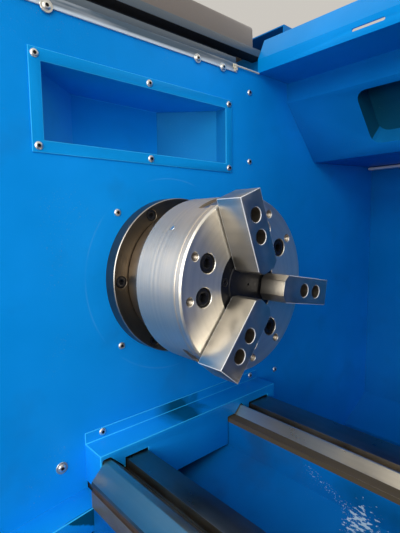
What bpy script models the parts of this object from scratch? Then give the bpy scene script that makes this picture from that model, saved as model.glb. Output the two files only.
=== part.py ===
# Flat-bed CNC turning lathe with a three-jaw power chuck, in metres, +Z up.
# Places are measured from the chuck's front face on the spindle axis:
# +X runs along the spindle to the tailstock, +Y to the back, +Z up.

import math

import bmesh
import bpy
from mathutils import Matrix, Vector

# Whole machine
spindle_height = 1.120
machine_left = -1.010
machine_right = 1.390
front_plane = -0.560
back_plane = 0.760
sheet_gauge = 0.003
casting_wall = 0.015
fit_gap = 0.0003
running_gap = 0.001
seating = 0.0005
overrun = 0.020

# Round pieces: facets round a circle
fine_facets = 48
shaft_facets = 32
small_facets = 16
screw_facets = 12
stud_facets = 8

# Chuck
chuck_radius = 0.125
chuck_thickness = 0.098
chuck_edge = 0.0025
chuck_bore = 0.034
cover_radius = 0.054
cover_thickness = 0.008
cover_step_radius = 0.0375
cover_step = 0.0012
cover_screw_circle = 0.0464
cover_screw_radius = 0.005
cover_hole_radius = 0.0016
jaw_count = 3
first_jaw_angle = math.radians(-9.6)
jaw_pitch = 2 * math.pi / jaw_count
face_bolt_circle = 0.0855
face_bolt_spread = math.radians(15.1)
face_bolt_radius = 0.008
face_bolt_head = 0.012
face_bolt_head_length = 0.016
face_counterbore = 0.0132
face_counterbore_depth = 0.0175
face_bolt_reach = 0.022
tap_circle = 0.1095
tap_radius = 0.0057
tap_depth = 0.018

# Jaws
slot_neck_width = 0.030
slot_neck_depth = 0.015
slot_head_width = 0.044
slot_head_depth = 0.018
master_inner = 0.0575
master_outer = 0.1215
master_proud = 0.0022
jaw_width = 0.0392
jaw_front = 0.0445
jaw_outer = 0.1328
jaw_corner = 0.032
jaw_nose = 0.0245
jaw_nose_width = 0.021
jaw_bolt_places = (0.0735, 0.1035)
jaw_bolt_head = 0.009
jaw_counterbore = 0.0098
jaw_counterbore_depth = 0.026
jaw_bolt_head_length = 0.012
jaw_bolt_shank = 0.006
jaw_bolt_reach = 0.016

# Spindle line
nose_radius = 0.105
nose_back = -0.1485
spindle_bore = 0.038
front_journal = 0.079
journal = 0.070
rear_journal = 0.060
rear_journal_start = -0.700
spindle_end = -0.820
cap_radius = 0.129
cap_face = -0.150
cap_edge = 0.0012
cap_bolt_circle = 0.116
cap_bolt_count = 6
cap_bolt_radius = 0.005
cap_bolt_head = 0.0084
cap_bolt_head_length = 0.009
cap_bolt_reach = 0.020
bearing_seat = 0.100
casting_front = -0.195
casting_half_width = 0.190
casting_top = 0.180
casting_crown = 0.040
front_bearing_width = 0.095
rear_bearing_width = 0.045
front_bearing_start = -0.2955
rear_bearing_start = -0.690
draw_tube_radius = 0.030
draw_tube_wall = 0.004
draw_tube_front = -0.040
draw_tube_back = -0.992
pulley_width = 0.080
spindle_pulley_radius = 0.110
motor_pulley_radius = 0.065
pulley_flange = 0.003
pulley_rim = 0.008
belt_thickness = 0.006
cylinder_radius = 0.085
cylinder_length = 0.120
collar_radius = 0.055
collar_length = 0.045

# Headstock wall and what is screwed on it
wall_face = -0.1736
wall_back = wall_face - sheet_gauge
wall_hole = 0.1245
recess_mouth = (-0.2137, 0.1310)
recess_height = (0.1995, 0.3005)
recess_straight = 0.0235
recess_depth = 0.1055
recess_back = (-0.124, 0.050)
recess_gauge = 0.002
recess_flange = 0.0165
strip_height = 0.016
strip_clearance = 0.0537
wall_top = recess_height[1] + recess_flange + strip_clearance + strip_height
screw_head = 0.0056
screw_head_height = 0.0032
screw_inset = 0.0085
screw_square = 0.105

# Bed cover on the wall
cover_front = -0.125
cover_left = -0.174
cover_right = 0.222
cover_top = -0.243
cover_side_foot = -0.301
cover_apron_foot = -0.3225
cover_flange = 0.017
cover_clearance = 0.0022

# Bed: slideways, seen from the end
v_ridge = -0.252
v_ridge_front = -0.1676
v_ridge_back = -0.1583
v_depth = 0.021
front_groove_floor = -0.277
front_flat = -0.262
front_flat_edges = (-0.1308, -0.0938)
bed_front = -0.190
bed_front_top = -0.2765
machined_depth = 0.0345
rear_face = 0.088
rear_ledge = -0.272
rear_ledge_back = 0.1066
rear_ridge = -0.258
rear_ridge_front = 0.1206
rear_ridge_width = 0.003
rear_groove_floor = -0.271
rear_flat = -0.262
rear_flat_edges = (0.147, 0.199)
chute_fold = -0.3255
chute_foot = -0.380
chute_thickness = 0.018
bed_wall = 0.022
bed_left = -0.705
bed_right = 1.290
bed_foot = -0.7167
bed_foot_width = 0.060
bed_foot_height = 0.030
ledge_top = -0.354
ledge_front = -0.300
ledge_lip = 0.031
ledge_slope = 0.004
ledge_thickness = 0.008
rib_thickness = 0.030

# Rear guard, a bent sheet seen from the end
guard_beam_front = 0.224
guard_beam_foot = 0.384
guard_beam_fold = 0.410
guard_beam_lean = 0.020
guard_beam_top = 0.452
guard_box_front = 0.322
guard_box_fold = 0.343
guard_slant_back = 0.430
guard_slant_foot = 0.227
guard_back = 0.725
guard_back_top = 0.240
guard_back_foot = -0.423
guard_chute_front = 0.610
guard_chute_foot = -0.482
guard_slot = (0.025, 0.080)
guard_slot_height = (0.3955, 0.4005)
pocket_left = -0.023
pocket_length = 0.420
pocket_corner = 0.020
pocket_margin = 0.026
pocket_depth = 0.045

# Tray, bases and feet
tray_top = -0.640
tray_depth = 0.080
base_height = 0.3697
base_depth = 0.640
left_base_span = (-1.000, -0.170)
right_base_span = (0.900, 1.300)
base_corner = 0.020
foot_radius = 0.050
foot_thickness = 0.014
stud_radius = 0.012
left_foot_inset = 0.070
right_foot_share = 0.175

# Enclosure
shell_rise = 0.0433
shell_top = wall_top + shell_rise
shell_right = wall_back - fit_gap
partition = 0.243
cabinet_rise = 0.075
cabinet_top = shell_top + cabinet_rise
roof_rim = 0.040
roof_end = 0.216
channel_end = 0.161
channel_depth = 0.024
channel_lip = 0.012
channel_slot = 0.016
strip_gauge = 0.0025
opening_rise = 0.0053
opening_x = (-0.140, 0.700)
opening_z = (-0.320, wall_top + opening_rise)
panel_return = 0.030
panel_rise = 0.0833
panel_top = wall_top + panel_rise

# Sliding door
door_rest_left = -1.000
door_width = 0.870
door_lap = (0.012, 0.010)
door_foot = opening_z[0] - door_lap[0]
door_height = opening_z[1] + door_lap[1] - door_foot
door_depth = 0.034
door_back = front_plane - 0.006
door_gauge = 0.002
door_frame = 0.090
window_thickness = 0.006
handle_radius = 0.010
handle_reach = 0.040
handle_length = 0.300
handle_inset = 0.045
rail_height = 0.020

# Cabinet door at the back
cabinet_door_gap = 0.0003
cabinet_door_depth = 0.022
cabinet_door_foot = -0.560
cabinet_door_inset = 0.014
hinge_radius = 0.007
hinge_length = 0.036
hinge_gap = 0.0005
hinge_inset = 0.160
cabinet_opening_margin = 0.030

# Main motor
motor_radius = 0.115
motor_length = 0.340
motor_axis = -0.905
motor_gap = 0.010
motor_shaft = 0.021
motor_bell = 0.030
motor_bell_radius = 0.100
motor_mount_width = 0.170
motor_fin = 0.006
motor_fins = 5

# Carriage
saddle_centre = 0.560
saddle_length = 0.320
saddle_top = -0.200
saddle_under = -0.2565
saddle_back = 0.235
apron_front = -0.325
apron_back = -0.302
apron_foot = -0.440
saddle_window = (-0.080, 0.100)
dovetail_half = 0.062
dovetail_undercut = 0.008
dovetail_height = 0.015
screw_axis_y = -0.250
screw_axis_z = -0.417
screw_radius = 0.016
nut_block = 0.060
nut_height = 0.044
nut_back = -0.222
screw_left = -0.070
screw_block = 0.040
servo_size = 0.090
servo_length = 0.088
x_servo_drop = 0.062
x_servo_length = 0.120

# Cross slide and tool turret
slide_width = 0.200
slide_length = 0.220
slide_height = 0.045
turret_x = 0.520
turret_y = -0.235
turret_width = 0.150
turret_base_height = 0.080
turret_head_height = 0.100
turret_corner = 0.018
tool_size = 0.025
tool_length = 0.145
tool_overhang = 0.005
tool_reach = 0.095
tool_headroom = 0.005
tool_tip_length = 0.030
station_count = 4
tool_count = 3
turn_between_stations = 2 * math.pi / station_count
turret_cap_radius = 0.045
turret_cap_height = 0.014
clamp_screw_radius = 0.005
clamp_screw_height = 0.010

# Tailstock
tail_left = 1.060
tail_length = 0.220
tail_under = -0.255
tail_base_height = 0.075
tail_barrel = 0.065
tail_neck = 0.055
quill_radius = 0.035
quill_length = 0.240
quill_rest = 0.040
centre_body = 0.024
centre_body_length = 0.030
centre_cone = 0.035
wheel_radius = 0.085
wheel_rim = 0.008
wheel_hub = 0.020
wheel_width = 0.022
wheel_spoke = 0.006
crank_radius = 0.008
crank_length = 0.050
lever_radius = 0.007
lever_length = 0.110
lever_ball = 0.014
lever_height = 0.030
lever_boss = 0.014
lever_boss_length = 0.018
lever_place = 0.060
lever_lean = math.radians(25)

# Coolant unit and control parts
tank_gaps = (0.070, 0.080)
tank_span = (left_base_span[1] + tank_gaps[0], right_base_span[0] - tank_gaps[1])
tank_depth = 0.480
tank_height = 0.300
tank_gauge = 0.004
pump_radius = 0.050
console_left = 0.770
console_width = 0.400
console_depth = 0.120
console_foot = -0.060
console_rise = 0.003
console_top = opening_z[1] + console_rise
console_chamfer = 0.060
console_brow = 0.040
screen_size = (0.270, 0.205)
screen_depth = 0.005
screen_inset = 0.050
key_size = 0.015
key_pitch = 0.024
key_height = 0.002
key_rows = 3
key_columns = 8
button_bore = 0.009
button_bore_depth = 0.018
button_sink = 0.010
stop_radius = 0.020
stop_height = 0.032
start_radius = 0.012
start_height = 0.014
pulse_radius = 0.040
pulse_height = 0.018
lamp_start = -0.060
lamp_end = 1.100
lamp_width = 0.026
lamp_height = 0.012
lamp_gap_back = 0.010

# Tables of places, as shares of the size named beside each
wall_screw_shares = ((0.80, 1.368), (0.80, 0.836), (1.146, -0.968), (-0.844, -1.062))
strip_screw_shares = (-0.812, 0.243, 0.492)
module_shares = ((0.04, 0.10, 0.20, 0.30), (0.28, 0.10, 0.16, 0.34), (0.48, 0.08, 0.12, 0.30),
                 (0.64, 0.08, 0.28, 0.22), (0.06, 0.56, 0.34, 0.26), (0.46, 0.52, 0.46, 0.30))
screw_field = 0.250
strip_screw_drop = 0.0152
module_depth = 0.110
plate_margin = 0.060

console_front = front_plane - fit_gap - console_depth
handle_front = door_back - door_depth - handle_reach - handle_radius
front_reach = min(console_front - stop_height, handle_front)
hinge_axis = (machine_left + hinge_radius, back_plane + cabinet_door_gap + cabinet_door_depth)
back_reach = hinge_axis[1] + hinge_radius
motor_front = rear_journal_start + motor_gap
turret_floor = saddle_top + slide_height + fit_gap * 2


for stale in list(bpy.data.objects):
    bpy.data.objects.remove(stale, do_unlink=True)

parts = bpy.data.collections.new("cnc_turning_lathe")
cutters = bpy.data.collections.new("cutters")
bpy.context.scene.collection.children.link(parts)
bpy.context.scene.collection.children.link(cutters)


def pivot(name, place, parent=None):
    empty = bpy.data.objects.new(name, None)
    parts.objects.link(empty)
    empty.parent = parent
    empty.location = place
    return empty


datum = pivot("machine_datum", (-(machine_left + machine_right) / 2,
                                -(front_reach + back_reach) / 2, spindle_height))


# Placing and naming

def adopt(obj):
    parts.objects.link(obj)
    obj.parent = datum
    return obj


def retire(obj):
    parts.objects.unlink(obj)
    cutters.objects.link(obj)
    obj.hide_render = True
    obj.display_type = "WIRE"
    return obj


def cut(target, *tools, operation="DIFFERENCE", solver="EXACT"):
    for tool in tools:
        retire(tool)
        step = target.modifiers.new(operation.lower(), "BOOLEAN")
        step.operation = operation
        step.object = tool
        step.solver = solver
    return target


def fuse(target, *others, solver="EXACT"):
    return cut(target, *others, operation="UNION", solver=solver)


def soften(obj, width, segments=2):
    bevel = obj.modifiers.new("rounded edges", "BEVEL")
    bevel.width = width
    bevel.segments = segments
    bevel.limit_method = "ANGLE"
    bevel.angle_limit = math.radians(40)
    return obj


def hang(obj, joint):
    obj.location = obj.location - joint.location
    obj.parent = joint
    return obj


def paint(obj, colour, metallic, roughness):
    skin = bpy.data.materials.new(obj.name + "_finish")
    skin.use_nodes = True
    shader = skin.node_tree.nodes["Principled BSDF"]
    shader.inputs["Base Color"].default_value = (*colour, 1)
    shader.inputs["Metallic"].default_value = metallic
    shader.inputs["Roughness"].default_value = roughness
    obj.data.materials.clear()
    obj.data.materials.append(skin)
    return obj


blue_paint = ((0.0, 0.20, 0.62), 0.0, 0.42)
grey_paint = ((0.62, 0.64, 0.64), 0.0, 0.45)
dark_paint = ((0.10, 0.10, 0.11), 0.0, 0.50)
bright_steel = ((0.72, 0.71, 0.69), 1.0, 0.28)
ground_steel = ((0.50, 0.49, 0.47), 1.0, 0.35)
bronzed_steel = ((0.20, 0.17, 0.13), 1.0, 0.42)
black_oxide = ((0.03, 0.03, 0.035), 0.6, 0.40)
cast_metal = ((0.28, 0.30, 0.31), 0.2, 0.60)
clear_strip = ((0.75, 0.78, 0.80), 0.0, 0.35)
glass_pane = ((0.70, 0.80, 0.82), 0.0, 0.08)
red_plastic = ((0.65, 0.02, 0.02), 0.0, 0.35)
green_plastic = ((0.02, 0.40, 0.10), 0.0, 0.35)
black_rubber = ((0.02, 0.02, 0.02), 0.0, 0.70)


# Basic shapes, all made in machine places

axis_turn = {
    "X": Matrix.Rotation(math.pi / 2, 4, "Y"),
    "Y": Matrix.Rotation(-math.pi / 2, 4, "X"),
    "Z": Matrix.Identity(4),
}


def on_axis(axis, centre, along):
    first, second = centre
    if axis == "X":
        return Vector((along, first, second))
    if axis == "Y":
        return Vector((first, along, second))
    return Vector((first, second, along))


def block(name, x, y, z):
    mesh = bpy.data.meshes.new(name)
    build = bmesh.new()
    bmesh.ops.create_cube(build, size=1)
    bmesh.ops.scale(build, vec=(x[1] - x[0], y[1] - y[0], z[1] - z[0]), verts=build.verts)
    middle = ((x[0] + x[1]) / 2, (y[0] + y[1]) / 2, (z[0] + z[1]) / 2)
    bmesh.ops.translate(build, vec=middle, verts=build.verts)
    build.to_mesh(mesh)
    build.free()
    return adopt(bpy.data.objects.new(name, mesh))


def rod(name, radius, span, axis="X", centre=(0, 0), facets=small_facets, end_radius=None):
    mesh = bpy.data.meshes.new(name)
    build = bmesh.new()
    far_radius = radius if end_radius is None else end_radius
    bmesh.ops.create_cone(build, cap_ends=True, cap_tris=False, segments=facets,
                          radius1=radius, radius2=far_radius, depth=span[1] - span[0])
    bmesh.ops.transform(build, matrix=axis_turn[axis], verts=build.verts)
    middle = on_axis(axis, centre, (span[0] + span[1]) / 2)
    bmesh.ops.translate(build, vec=middle, verts=build.verts)
    build.to_mesh(mesh)
    build.free()
    mesh.shade_smooth()
    mesh.set_sharp_from_angle(angle=math.radians(35))
    return adopt(bpy.data.objects.new(name, mesh))


def ball(name, radius, centre, facets=small_facets):
    mesh = bpy.data.meshes.new(name)
    build = bmesh.new()
    bmesh.ops.create_uvsphere(build, u_segments=facets, v_segments=facets // 2, radius=radius)
    bmesh.ops.translate(build, vec=centre, verts=build.verts)
    build.to_mesh(mesh)
    build.free()
    mesh.shade_smooth()
    return adopt(bpy.data.objects.new(name, mesh))


# A turned piece: (radius, place along the axis), down its outer side from the far end.
def turned(name, profile, axis="X", centre=(0, 0), facets=shaft_facets, ring=False):
    mesh = bpy.data.meshes.new(name)
    edges = [(i, i + 1) for i in range(len(profile) - 1)]
    if ring:
        edges.append((len(profile) - 1, 0))
    mesh.from_pydata([(radius, 0, along) for radius, along in profile], edges, [])
    obj = adopt(bpy.data.objects.new(name, mesh))
    obj.rotation_euler = axis_turn[axis].to_euler()
    obj.location = on_axis(axis, centre, 0)
    screw = obj.modifiers.new("turned", "SCREW")
    screw.axis = "Z"
    screw.angle = 2 * math.pi
    screw.steps = facets
    screw.render_steps = facets
    screw.use_merge_vertices = True
    screw.merge_threshold = 0.00001
    screw.use_smooth_shade = True
    return obj


def solid_mesh(obj):
    bpy.context.view_layer.update()
    graph = bpy.context.evaluated_depsgraph_get()
    return bpy.data.meshes.new_from_object(obj.evaluated_get(graph))


# A flat outline given thickness: loops of points in the plane across the axis.
def prism(name, loops, span, axis="X"):
    curve = bpy.data.curves.new(name, "CURVE")
    curve.dimensions = "2D"
    curve.fill_mode = "BOTH"
    curve.extrude = (span[1] - span[0]) / 2
    for loop in loops:
        spline = curve.splines.new("POLY")
        spline.points.add(len(loop) - 1)
        for point, (across, up) in zip(spline.points, loop):
            point.co = (across, up, 0, 1)
        spline.use_cyclic_u = True
    flat = bpy.data.objects.new(name + "_outline", curve)
    parts.objects.link(flat)
    mesh = solid_mesh(flat)
    bpy.data.objects.remove(flat)
    turn = {
        "X": Matrix(((0, 0, 1, 0), (1, 0, 0, 0), (0, 1, 0, 0), (0, 0, 0, 1))),
        "Y": Matrix(((1, 0, 0, 0), (0, 0, -1, 0), (0, 1, 0, 0), (0, 0, 0, 1))),
        "Z": Matrix.Identity(4),
    }[axis]
    build = bmesh.new()
    build.from_mesh(mesh)
    bmesh.ops.remove_doubles(build, verts=build.verts, dist=0.00001)
    bmesh.ops.dissolve_limit(build, angle_limit=math.radians(0.5), verts=build.verts, edges=build.edges)
    bmesh.ops.transform(build, matrix=turn, verts=build.verts)
    middle = on_axis(axis, (0, 0), (span[0] + span[1]) / 2)
    bmesh.ops.translate(build, vec=middle, verts=build.verts)
    bmesh.ops.recalc_face_normals(build, faces=build.faces)
    build.to_mesh(mesh)
    build.free()
    mesh.name = name
    return adopt(bpy.data.objects.new(name, mesh))


# A sheet bent along X: the path is its bends in the (y, z) plane.
def bent_sheet(name, path, span, gauge, side):
    mesh = bpy.data.meshes.new(name)
    count = len(path)
    corners = [(span[0], y, z) for y, z in path] + [(span[1], y, z) for y, z in path]
    faces = [(i, i + 1, count + i + 1, count + i) for i in range(count - 1)]
    mesh.from_pydata(corners, [], faces)
    obj = adopt(bpy.data.objects.new(name, mesh))
    wall = obj.modifiers.new("sheet gauge", "SOLIDIFY")
    wall.thickness = gauge
    wall.offset = side
    wall.use_even_offset = True
    return obj


def arc(centre, radius, start, end, steps):
    turns = [start + (end - start) * i / steps for i in range(steps + 1)]
    return [(centre[0] + radius * math.cos(t), centre[1] + radius * math.sin(t)) for t in turns]


# A rectangle with round corners, as one loop.
def rounded_box(low, high, radius, steps=4):
    quarter = math.pi / 2
    corners = (((high[0] - radius, high[1] - radius), 0), ((low[0] + radius, high[1] - radius), 1),
               ((low[0] + radius, low[1] + radius), 2), ((high[0] - radius, low[1] + radius), 3))
    loop = []
    for centre, turn in corners:
        loop += arc(centre, radius, turn * quarter, (turn + 1) * quarter, steps)
    return loop


# Copies of one solid at several places, kept as one group of separate solids.
def group(name, template, places):
    pattern = solid_mesh(template)
    base = template.matrix_local.copy()
    build = bmesh.new()
    for place in places:
        copy = pattern.copy()
        copy.transform(place @ base)
        build.from_mesh(copy)
        bpy.data.meshes.remove(copy)
    mesh = bpy.data.meshes.new(name)
    build.to_mesh(mesh)
    build.free()
    bpy.data.objects.remove(template)
    mesh.shade_smooth()
    mesh.set_sharp_from_angle(angle=math.radians(35))
    return adopt(bpy.data.objects.new(name, mesh))


def shift(x=0.0, y=0.0, z=0.0):
    return Matrix.Translation((x, y, z))


# Round the spindle by an angle measured from +Y towards +Z.
def about_spindle(angle):
    return Matrix.Rotation(angle, 4, "X")


# A socket head screw along -X, its head's top at the given place on +X.
def socket_screw(name, head, head_length, shank, reach, top, socket_share=0.48):
    screw = turned(name, ((0, top), (head, top), (head, top - head_length), (shank, top - head_length),
                          (shank, top - head_length - reach), (0, top - head_length - reach)),
                   facets=screw_facets)
    socket = rod(name + "_socket", head * socket_share, (top - head_length / 2, top + overrun), facets=6)
    return cut(screw, socket)


# Spindle line

def make_bearing_cap():
    back = wall_face + fit_gap
    spigot = wall_hole - running_gap
    seat = casting_front + fit_gap
    bore = front_journal + running_gap
    cap = turned("bearing_cap", ((bore, cap_face), (cap_radius - cap_edge, cap_face),
                                 (cap_radius, cap_face - cap_edge), (cap_radius, back),
                                 (spigot, back), (spigot, seat), (bore, seat)), ring=True)
    depth = cap_bolt_head_length - seating
    holes = rod("cap_counterbore", cap_bolt_head + fit_gap * 2, (cap_face - depth, cap_face + overrun),
                facets=screw_facets)
    reach = cap_face - cap_bolt_head_length - casting_front + cap_bolt_reach
    bolt = socket_screw("cap_bolt", cap_bolt_head, cap_bolt_head_length, cap_bolt_radius, reach, cap_face)
    cut(cap, group("cap_counterbores", holes, cap_bolt_places()))
    fuse(cap, group("cap_bolts", bolt, cap_bolt_places()))
    return paint(cap, *bronzed_steel)


def cap_bolt_places():
    pitch = 2 * math.pi / cap_bolt_count
    return [about_spindle(i * pitch) @ shift(y=cap_bolt_circle) for i in range(cap_bolt_count)]


def make_spindle():
    front = -chuck_thickness - fit_gap
    step = casting_front - running_gap
    spindle = turned("spindle", ((spindle_bore, front), (nose_radius - cap_edge, front),
                                 (nose_radius, front - cap_edge), (nose_radius, nose_back),
                                 (front_journal, nose_back), (front_journal, step),
                                 (journal, step), (journal, rear_journal_start),
                                 (rear_journal, rear_journal_start), (rear_journal, spindle_end),
                                 (spindle_bore, spindle_end)), ring=True)
    tapped = rod("nose_tap", face_bolt_radius + fit_gap * 2,
                 (front - face_bolt_reach - running_gap, front + overrun), facets=screw_facets)
    cut(spindle, group("nose_taps", tapped, face_bolt_places()))
    return paint(spindle, *bronzed_steel)


def sector_angles():
    return [first_jaw_angle + jaw_pitch * (i + 0.5) for i in range(jaw_count)]


def face_places(circle):
    places = []
    for middle in sector_angles():
        for side in (-1, 1):
            places.append(about_spindle(middle + side * face_bolt_spread) @ shift(y=circle))
    return places


def face_bolt_places():
    return face_places(face_bolt_circle)


def make_chuck_body():
    back = -chuck_thickness
    body = turned("chuck_body", ((chuck_bore, 0), (chuck_radius - chuck_edge, 0),
                                 (chuck_radius, -chuck_edge), (chuck_radius, back + chuck_edge),
                                 (chuck_radius - chuck_edge, back), (chuck_bore, back)),
                  facets=fine_facets, ring=True)
    seat = rod("cover_seat", cover_radius + fit_gap, (-cover_thickness - fit_gap, overrun),
               facets=shaft_facets)
    cut(body, seat)
    for i in range(jaw_count):
        slot = prism("jaw_slot_%d" % i, [slot_outline(fit_gap)], (cover_radius - fit_gap,
                                                                 chuck_radius + overrun), axis="Y")
        slot.matrix_local = about_spindle(first_jaw_angle + jaw_pitch * i)
        cut(body, slot)
    counterbore = rod("face_counterbore", face_counterbore, (-face_counterbore_depth, overrun),
                      facets=small_facets)
    tap = rod("face_tap", tap_radius, (-tap_depth, overrun), facets=screw_facets)
    top = face_bolt_head_length - face_counterbore_depth - seating
    reach = chuck_thickness - face_counterbore_depth - seating + face_bolt_reach
    bolt = socket_screw("chuck_bolt", face_bolt_head, face_bolt_head_length, face_bolt_radius, reach, top)
    cut(body, group("face_counterbores", counterbore, face_bolt_places()))
    cut(body, group("face_taps", tap, face_places(tap_circle)))
    fuse(body, group("chuck_bolts", bolt, face_bolt_places()), solver="MANIFOLD")
    return paint(body, *bright_steel)


# Section of the jaw slot or, with a negative clearance, of the master jaw: (x, z) across Y.
def slot_outline(clearance, top=overrun):
    neck = slot_neck_width / 2 + clearance
    head = slot_head_width / 2 + clearance
    shoulder = -slot_neck_depth + clearance
    floor = -slot_neck_depth - slot_head_depth - clearance
    return ((top, -neck), (top, neck), (shoulder, neck), (shoulder, head),
            (floor, head), (floor, -head), (shoulder, -head), (shoulder, -neck))


def make_chuck_cover():
    face = 0
    step = face - cover_step
    back = -cover_thickness
    cover = turned("chuck_cover", ((cover_hole_radius, face), (cover_step_radius, face),
                                   (cover_step_radius + cover_step, step), (cover_radius, step),
                                   (cover_radius, back), (cover_hole_radius, back)), ring=True)
    floor = -cover_thickness / 2
    sink = rod("cover_sink", cover_screw_radius + fit_gap * 2, (floor, overrun), facets=screw_facets)
    head_length = step - fit_gap - floor + seating
    screw = socket_screw("cover_screw", cover_screw_radius, head_length, cover_screw_radius / 2,
                         cover_thickness / 4, step - fit_gap)
    cut(cover, group("cover_sinks", sink, cover_screw_places()))
    fuse(cover, group("cover_screws", screw, cover_screw_places()))
    return paint(cover, *black_oxide)


def cover_screw_places():
    return [about_spindle(angle) @ shift(y=cover_screw_circle) for angle in sector_angles()]


def make_draw_tube():
    tube = turned("draw_tube", ((draw_tube_radius - draw_tube_wall, draw_tube_front),
                                (draw_tube_radius, draw_tube_front), (draw_tube_radius, draw_tube_back),
                                (draw_tube_radius - draw_tube_wall, draw_tube_back)),
                  facets=small_facets, ring=True)
    return paint(tube, *ground_steel)


def make_spindle_pulley():
    left = spindle_end + fit_gap
    right = left + pulley_width
    bore = rear_journal + fit_gap
    rim = spindle_pulley_radius
    lip = rim + pulley_flange
    pulley = turned("spindle_pulley", ((bore, right), (lip, right), (lip, right - pulley_flange),
                                       (rim, right - pulley_flange), (rim, left + pulley_flange),
                                       (lip, left + pulley_flange), (lip, left), (bore, left)), ring=True)
    return paint(pulley, *cast_metal)


def make_motor_pulley():
    left = spindle_end + fit_gap
    right = left + pulley_width
    end = motor_front - running_gap
    rim = motor_pulley_radius
    lip = rim + pulley_flange
    pulley = turned("motor_pulley", ((0, end), (motor_shaft, end), (motor_shaft, right), (lip, right),
                                     (lip, right - pulley_flange), (rim, right - pulley_flange),
                                     (rim, left + pulley_flange), (lip, left + pulley_flange),
                                     (lip, left), (0, left)), centre=(0, motor_axis))
    return paint(pulley, *cast_metal)


# The belt's closed loop round both pulleys, standing off their rims by the clearance.
def belt_loop(clearance):
    high = spindle_pulley_radius + clearance
    low = motor_pulley_radius + clearance
    tilt = math.asin((high - low) / -motor_axis)
    quarter = math.pi / 2
    steps = 16
    over = arc((0, 0), high, -tilt, 2 * quarter + tilt, steps)
    under = arc((0, motor_axis), low, 2 * quarter + tilt, 4 * quarter - tilt, steps)
    return over + under


def make_drive_belt():
    left = spindle_end + fit_gap + pulley_flange + running_gap
    right = left + pulley_width - 2 * (pulley_flange + running_gap)
    belt = prism("drive_belt", [belt_loop(running_gap + belt_thickness), belt_loop(running_gap)],
                 (left, right))
    return paint(belt, *black_rubber)


def make_chuck_cylinder():
    front = spindle_end - fit_gap
    back = front - cylinder_length
    end = back - collar_length
    bore = draw_tube_radius + fit_gap * 2
    rim = cylinder_radius
    cylinder = turned("chuck_cylinder", ((bore, front), (rear_journal, front),
                                         (rear_journal, front - pulley_rim), (rim, front - pulley_rim),
                                         (rim, back), (collar_radius, back), (collar_radius, end),
                                         (bore, end)), ring=True)
    return paint(cylinder, *ground_steel)


def make_bearing(name, left, width):
    outer = bearing_seat - fit_gap
    inner = (journal + fit_gap / 4) / math.cos(math.pi / shaft_facets)
    right = left + width
    ring = turned(name, ((inner, right), (outer, right), (outer, left), (inner, left)), ring=True)
    return paint(ring, *bright_steel)


def make_front_bearing():
    return make_bearing("front_bearing", front_bearing_start, front_bearing_width)


def make_rear_bearing():
    return make_bearing("rear_bearing", rear_bearing_start, rear_bearing_width)


# Jaws, made on the first jaw's line along +Y and then turned round the spindle

def make_master_jaw(index):
    name = "master_jaw_%d" % (index + 1)
    jaw = prism(name, [slot_outline(-fit_gap, master_proud)], (master_inner, master_outer), axis="Y")
    for number, place in enumerate(jaw_bolt_places):
        cut(jaw, rod("%s_tap_%d" % (name, number), jaw_bolt_shank + fit_gap,
                     (-jaw_bolt_reach - running_gap, master_proud + overrun), centre=(place, 0),
                     facets=screw_facets))
    return turn_to_jaw(paint(jaw, *bright_steel), index)


def make_top_jaw(index):
    name = "top_jaw_%d" % (index + 1)
    half = jaw_width / 2
    nose = jaw_nose_width / 2
    outline = ((jaw_outer, -half), (jaw_outer, half), (jaw_corner, half), (jaw_nose, nose),
               (jaw_nose, -nose), (jaw_corner, -half))
    back = master_proud + fit_gap
    floor = jaw_front - jaw_counterbore_depth
    jaw = prism(name, [outline], (back, jaw_front))
    head_top = floor - seating + jaw_bolt_head_length
    reach = floor - seating + jaw_bolt_reach
    places = [shift(y=place) for place in jaw_bolt_places]
    bore = rod(name + "_bore", jaw_counterbore, (floor, jaw_front + overrun), facets=small_facets)
    bolt = socket_screw(name + "_bolt", jaw_bolt_head, jaw_bolt_head_length, jaw_bolt_shank, reach, head_top)
    cut(jaw, group(name + "_bores", bore, places))
    fuse(jaw, group(name + "_bolts", bolt, places))
    return turn_to_jaw(paint(jaw, *bright_steel), index)


def turn_to_jaw(jaw, index):
    turn = about_spindle(first_jaw_angle + jaw_pitch * index)
    for piece in [jaw] + [step.object for step in jaw.modifiers]:
        piece.data.transform(turn)
    return jaw


# Headstock

def make_headstock_casting():
    side = casting_half_width
    top = casting_top
    foot = front_flat + fit_gap
    rear_foot = rear_flat + fit_gap
    under = saddle_under + casting_wall
    crown = casting_crown
    outline = arc((side - crown, top - crown), crown, 0, math.pi / 2, 5)
    outline += arc((crown - side, top - crown), crown, math.pi / 2, math.pi, 5)
    outline += [(-side, under), (front_flat_edges[0] + running_gap, under),
                (front_flat_edges[0] + running_gap, foot), (front_flat_edges[1] - running_gap, foot),
                (front_flat_edges[1] - running_gap, under), (rear_flat_edges[0] + running_gap, under),
                (rear_flat_edges[0] + running_gap, rear_foot), (side, rear_foot)]
    casting = prism("headstock_casting", [outline], (rear_journal_start + casting_wall, casting_front))
    cut(casting, rod("spindle_tunnel", bearing_seat, (machine_left, wall_face), facets=shaft_facets),
        solver="MANIFOLD")
    tap = rod("cap_tap", cap_bolt_radius + fit_gap * 2,
              (casting_front - cap_bolt_reach - running_gap, casting_front + overrun), facets=screw_facets)
    cut(casting, group("cap_taps", tap, cap_bolt_places()), solver="MANIFOLD")
    return paint(casting, *cast_metal)


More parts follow.
